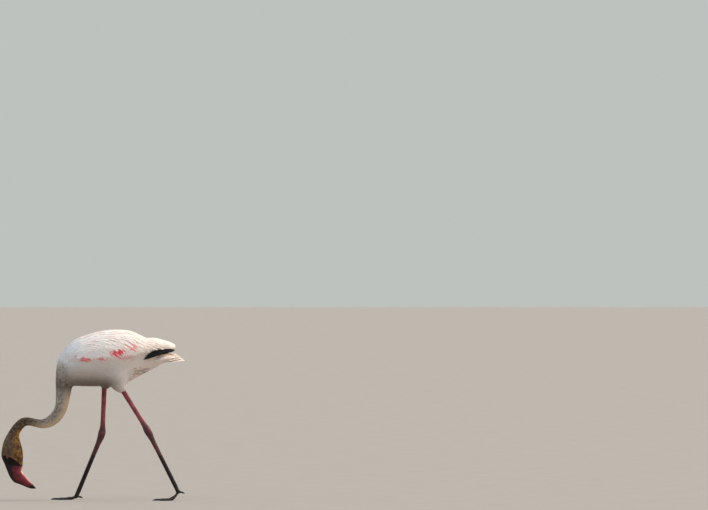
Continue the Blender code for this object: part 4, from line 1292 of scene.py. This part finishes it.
# How far aside the outer one lies, as x and y.
FLIGHT_LINE = np.array([(0.148, 0.0465), (0.166, 0.0435), (0.180, 0.0400), (0.189, 0.0370),
                        (0.205, 0.0315), (0.223, 0.0240), (0.235, 0.0175)])
VANE, SHAFT, VANE_UNDER, SWEEP, SPLIT_CHANCE, SPLIT_DEEP = 0.0004, 0.9, 0.35, 0.30, 0.12, 0.10
NARROWEST, QUILL_CREASE = 0.06, 70


def quill(line, across, width, rows=26, columns=8, taper=0.12, seed=0):
    """A large feather along a line of points: closed, arched, with a shaft and a few splits.
    Returns its points, faces and vane marks (side, share of length, height)."""
    chance = np.random.default_rng(seed)
    line = through(line, np.linspace(0, len(line) - 1, rows + 1))
    ways = unit(np.gradient(line, axis=0))
    split = np.where(chance.random((rows + 1, 2)) < SPLIT_CHANCE, SPLIT_DEEP, 0.0)
    top, bottom, marks = [], [], []
    for i, (spot, way) in enumerate(zip(line, ways)):
        share = i / rows
        side_way = unit(across - way * (across @ way))
        up = np.cross(way, side_way)
        half = width / 2 * min((share / taper) ** 0.8 + 0.05, 1.0) * max(1 - share ** 7, NARROWEST) ** 0.5
        for j in range(columns + 1):
            side = 2 * j / columns - 1
            edge = half * (1 - split[i, int(side > 0)] * abs(side) ** 6)
            height = SHAFT * (1 - side * side) + SHAFT * (j == columns // 2)
            under = spot + side_way * side * edge + way * (width * SWEEP * (1 - side * side) * share)
            top.append(under + up * VANE * height)
            bottom.append(under - up * VANE * VANE_UNDER)
            marks.append((side, share, height))
    shape = (rows + 1, columns + 1, 3)
    points, faces = slab(np.array(top).reshape(shape), np.array(bottom).reshape(shape))
    return points, faces, marks + marks


def lay_out_quills(made, vanes):
    """Gives a piece of large feathers its map: a square field for each, filled by its vane."""
    fields = math.ceil(len(vanes) ** 0.5)
    places = []
    for k, vane in enumerate(vanes):
        row, column = divmod(k, fields)
        places += [((column + 0.5 + 0.45 * side) / fields, (row + 0.05 + 0.9 * share) / fields)
                   for side, share, _ in vane[2]]
    map_out(made, places)


def quills(name, vanes, finish, slot, *solids):
    """One piece of many large feathers, which keeps the marks that the plumage finish reads."""
    points, faces = all_in_one([vane[:2] for vane in vanes])
    made = mesh_object(name, points, faces)
    outward(made)
    chance = np.random.default_rng(len(vanes))
    distance, around, _ = along_body(np.array(points))
    store(made, mark=points, tint=np.concatenate([np.tile(chance.random(), len(vane[0])) for vane in vanes]),
          vane=[mark for vane in vanes for mark in vane[2]], along=distance,
          around=np.abs(around) / math.pi)
    made.data.set_sharp_from_angle(angle=math.radians(QUILL_CREASE))
    lay_out_quills(made, vanes)
    fitted(made, finish, slot, *solids)


black, make = new_finish("black_vane", Roughness=0.45, Specular_IOR_Level=0.25)
u, v, _ = make.parts(make.stored("vane", "Vector"))
tint = make.stored("tint")
barbs = make.math("SINE", (v * 14.0 - abs(u)) * 60.0)
worn = make.step(v, 0.80, 1.0) * make.step(abs(u), 0.5, 1.0)
colour = make.mix(worn * 0.5, make.mix(tint, rgb(6, 6, 8), rgb(15, 14, 16)), rgb(70, 60, 56))
make.show(Base_Color=make.mix(make.step(abs(u), 0.08, 0.03) * 0.6, colour, rgb(34, 30, 30)),
          Roughness=0.40 + tint * 0.15, Normal=make.relief(barbs, 0.00010, 0.6))
for name, side in SIDES:
    vanes = []
    for k, (root_x, root_z, tip_x, tip_z) in enumerate(PRIMARIES):
        t = np.linspace(0, 1, 6)
        x = root_x + (tip_x - root_x) * t
        sunk = ROOT_SUNK * (1 - ramp(t, 0.0, 0.40)) - FIRST_PROUD + PRIMARY_STEP * k
        y = side * (np.interp(x, FLIGHT_LINE[:, 0], FLIGHT_LINE[:, 1]) - sunk)
        z = root_z + (tip_z - root_z) * (1 - (1 - t) ** PRIMARY_BOW)
        upright = np.array((0.0, 0.0, -float(side)))
        vanes.append(quill(np.stack([x, y, z], axis=1), upright, PRIMARY_WIDE, taper=0.30, seed=k))
    quills("primaries_" + name, vanes, black, "flight_feather", "flight_feathers_" + name)


# ---------------------------------------------------------------- tertials
# Seven long white feathers of each folded wing, laid over the flesh of its rear end like roof
# tiles. The lowest makes the straight border above the black band.
# The rear of the wing: x, lowest z, z of its widest line, highest z, half width.
LOBE = np.array([(0.1200, 0.4010, 0.4240, 0.4870, 0.0545), (0.1320, 0.4050, 0.4270, 0.4815, 0.0505),
                 (0.1570, 0.4200, 0.4340, 0.4692, 0.0420), (0.1800, 0.4335, 0.4410, 0.4678, 0.0345),
                 (0.2050, 0.4345, 0.4430, 0.4612, 0.0270), (0.2250, 0.4355, 0.4425, 0.4545, 0.0190),
                 (0.2380, 0.4385, 0.4425, 0.4465, 0.0060)])
# Each from the lowest: angle on the wing's section, root x, tip x, width.
TERTIALS = [(-0.70, 0.1480, 0.2270, 0.0100), (-0.30, 0.1450, 0.2325, 0.0105),
            (0.08, 0.1400, 0.2350, 0.0110), (0.44, 0.1380, 0.2355, 0.0120), (0.80, 0.1380, 0.2350, 0.0130),
            (1.15, 0.1400, 0.2345, 0.0135), (1.45, 0.1400, 0.2335, 0.0140)]
TERTIAL_PROUD, TERTIAL_STEP, TERTIAL_LEAN, TERTIAL_SEED = 0.0014, 0.00012, 0.8, 40
for name, side in SIDES:
    vanes = []
    for k, (angle, root_x, tip_x, width) in enumerate(TERTIALS):
        t = np.linspace(0, 1, 9)
        x = root_x + (tip_x - root_x) * t
        low, middle, high, half = (np.interp(x, LOBE[:, 0], LOBE[:, i]) for i in range(1, 5))
        tall = (high if angle > 0 else 2 * middle - low) - middle
        lift = TERTIAL_PROUD + TERTIAL_STEP * k - ROOT_SUNK * (1 - ramp(t, 0.0, 0.35))
        y, z = side * (half + lift) * math.cos(angle), middle + (tall + lift) * math.sin(angle)
        across = np.array((0.0, math.sin(angle), -side * math.cos(angle) * TERTIAL_LEAN))
        vanes.append(quill(np.stack([x, y, z], axis=1), across, width, rows=22, seed=TERTIAL_SEED + k))
    quills("tertials_" + name, vanes, plumage, "plumage")


# ---------------------------------------------------------------- tail
# A shallow closed fan of twelve broad white feathers, held by the rump, with four shorter
# rows laid over it and one under it.
TAIL_ROOT, SPREAD_AT_ROOT, SPREAD_AT_TIP, TAIL_ROUNDING = 0.176, 0.75, 1.15, 0.022
ROOT_DROOP, TIP_DROOP, FAN_LEAN, FAN_STEP, ROW_STEP = 0.0050, 0.0035, 0.45, 0.0006, 0.0003
# Each row: how many, tip x, root z, tip z, half spread, width of a feather, crown. The first
# is the fan itself, and the last lies under it.
TAIL_ROWS = [(12, 0.2614, 0.4110, 0.4056, 0.0185, 0.0160, 0.0035),
             (9, 0.2560, 0.4150, 0.4105, 0.0178, 0.0160, 0.0035),
             (8, 0.2500, 0.4180, 0.4155, 0.0172, 0.0160, 0.0040),
             (7, 0.2425, 0.4205, 0.4205, 0.0150, 0.0150, 0.0045),
             (6, 0.2350, 0.4215, 0.4240, 0.0125, 0.0140, 0.0040),
             (8, 0.2490, 0.4050, 0.4046, 0.0165, 0.0160, 0.0035)]
vanes = []
for row, (count, tip_x, root_z, tip_z, spread, width, crown) in enumerate(TAIL_ROWS):
    over = 1 if row < len(TAIL_ROWS) - 1 else -1
    gap = FAN_STEP if row == 0 else ROW_STEP
    for k in range(count):
        out = 2 * k / (count - 1) - 1
        root = np.array((TAIL_ROOT, spread * out * SPREAD_AT_ROOT, root_z - over * ROOT_DROOP * out * out))
        tip = np.array((tip_x - TAIL_ROUNDING * out * out, spread * out * SPREAD_AT_TIP,
                        tip_z - over * TIP_DROOP * out * out))
        arch, stack = UP * (crown * over * (1 - out * out)), UP * (gap * over * (1 - abs(out)))
        line = np.array([root, root * 0.65 + tip * 0.35 + arch, root * 0.3 + tip * 0.7 + arch, tip]) + stack
        across = np.array((0.0, over * 1.0, -FAN_LEAN * out))
        vanes.append(quill(line, across, width, rows=20, seed=row * 20 + k))
quills("tail_feathers", vanes, plumage, "plumage", "tail")
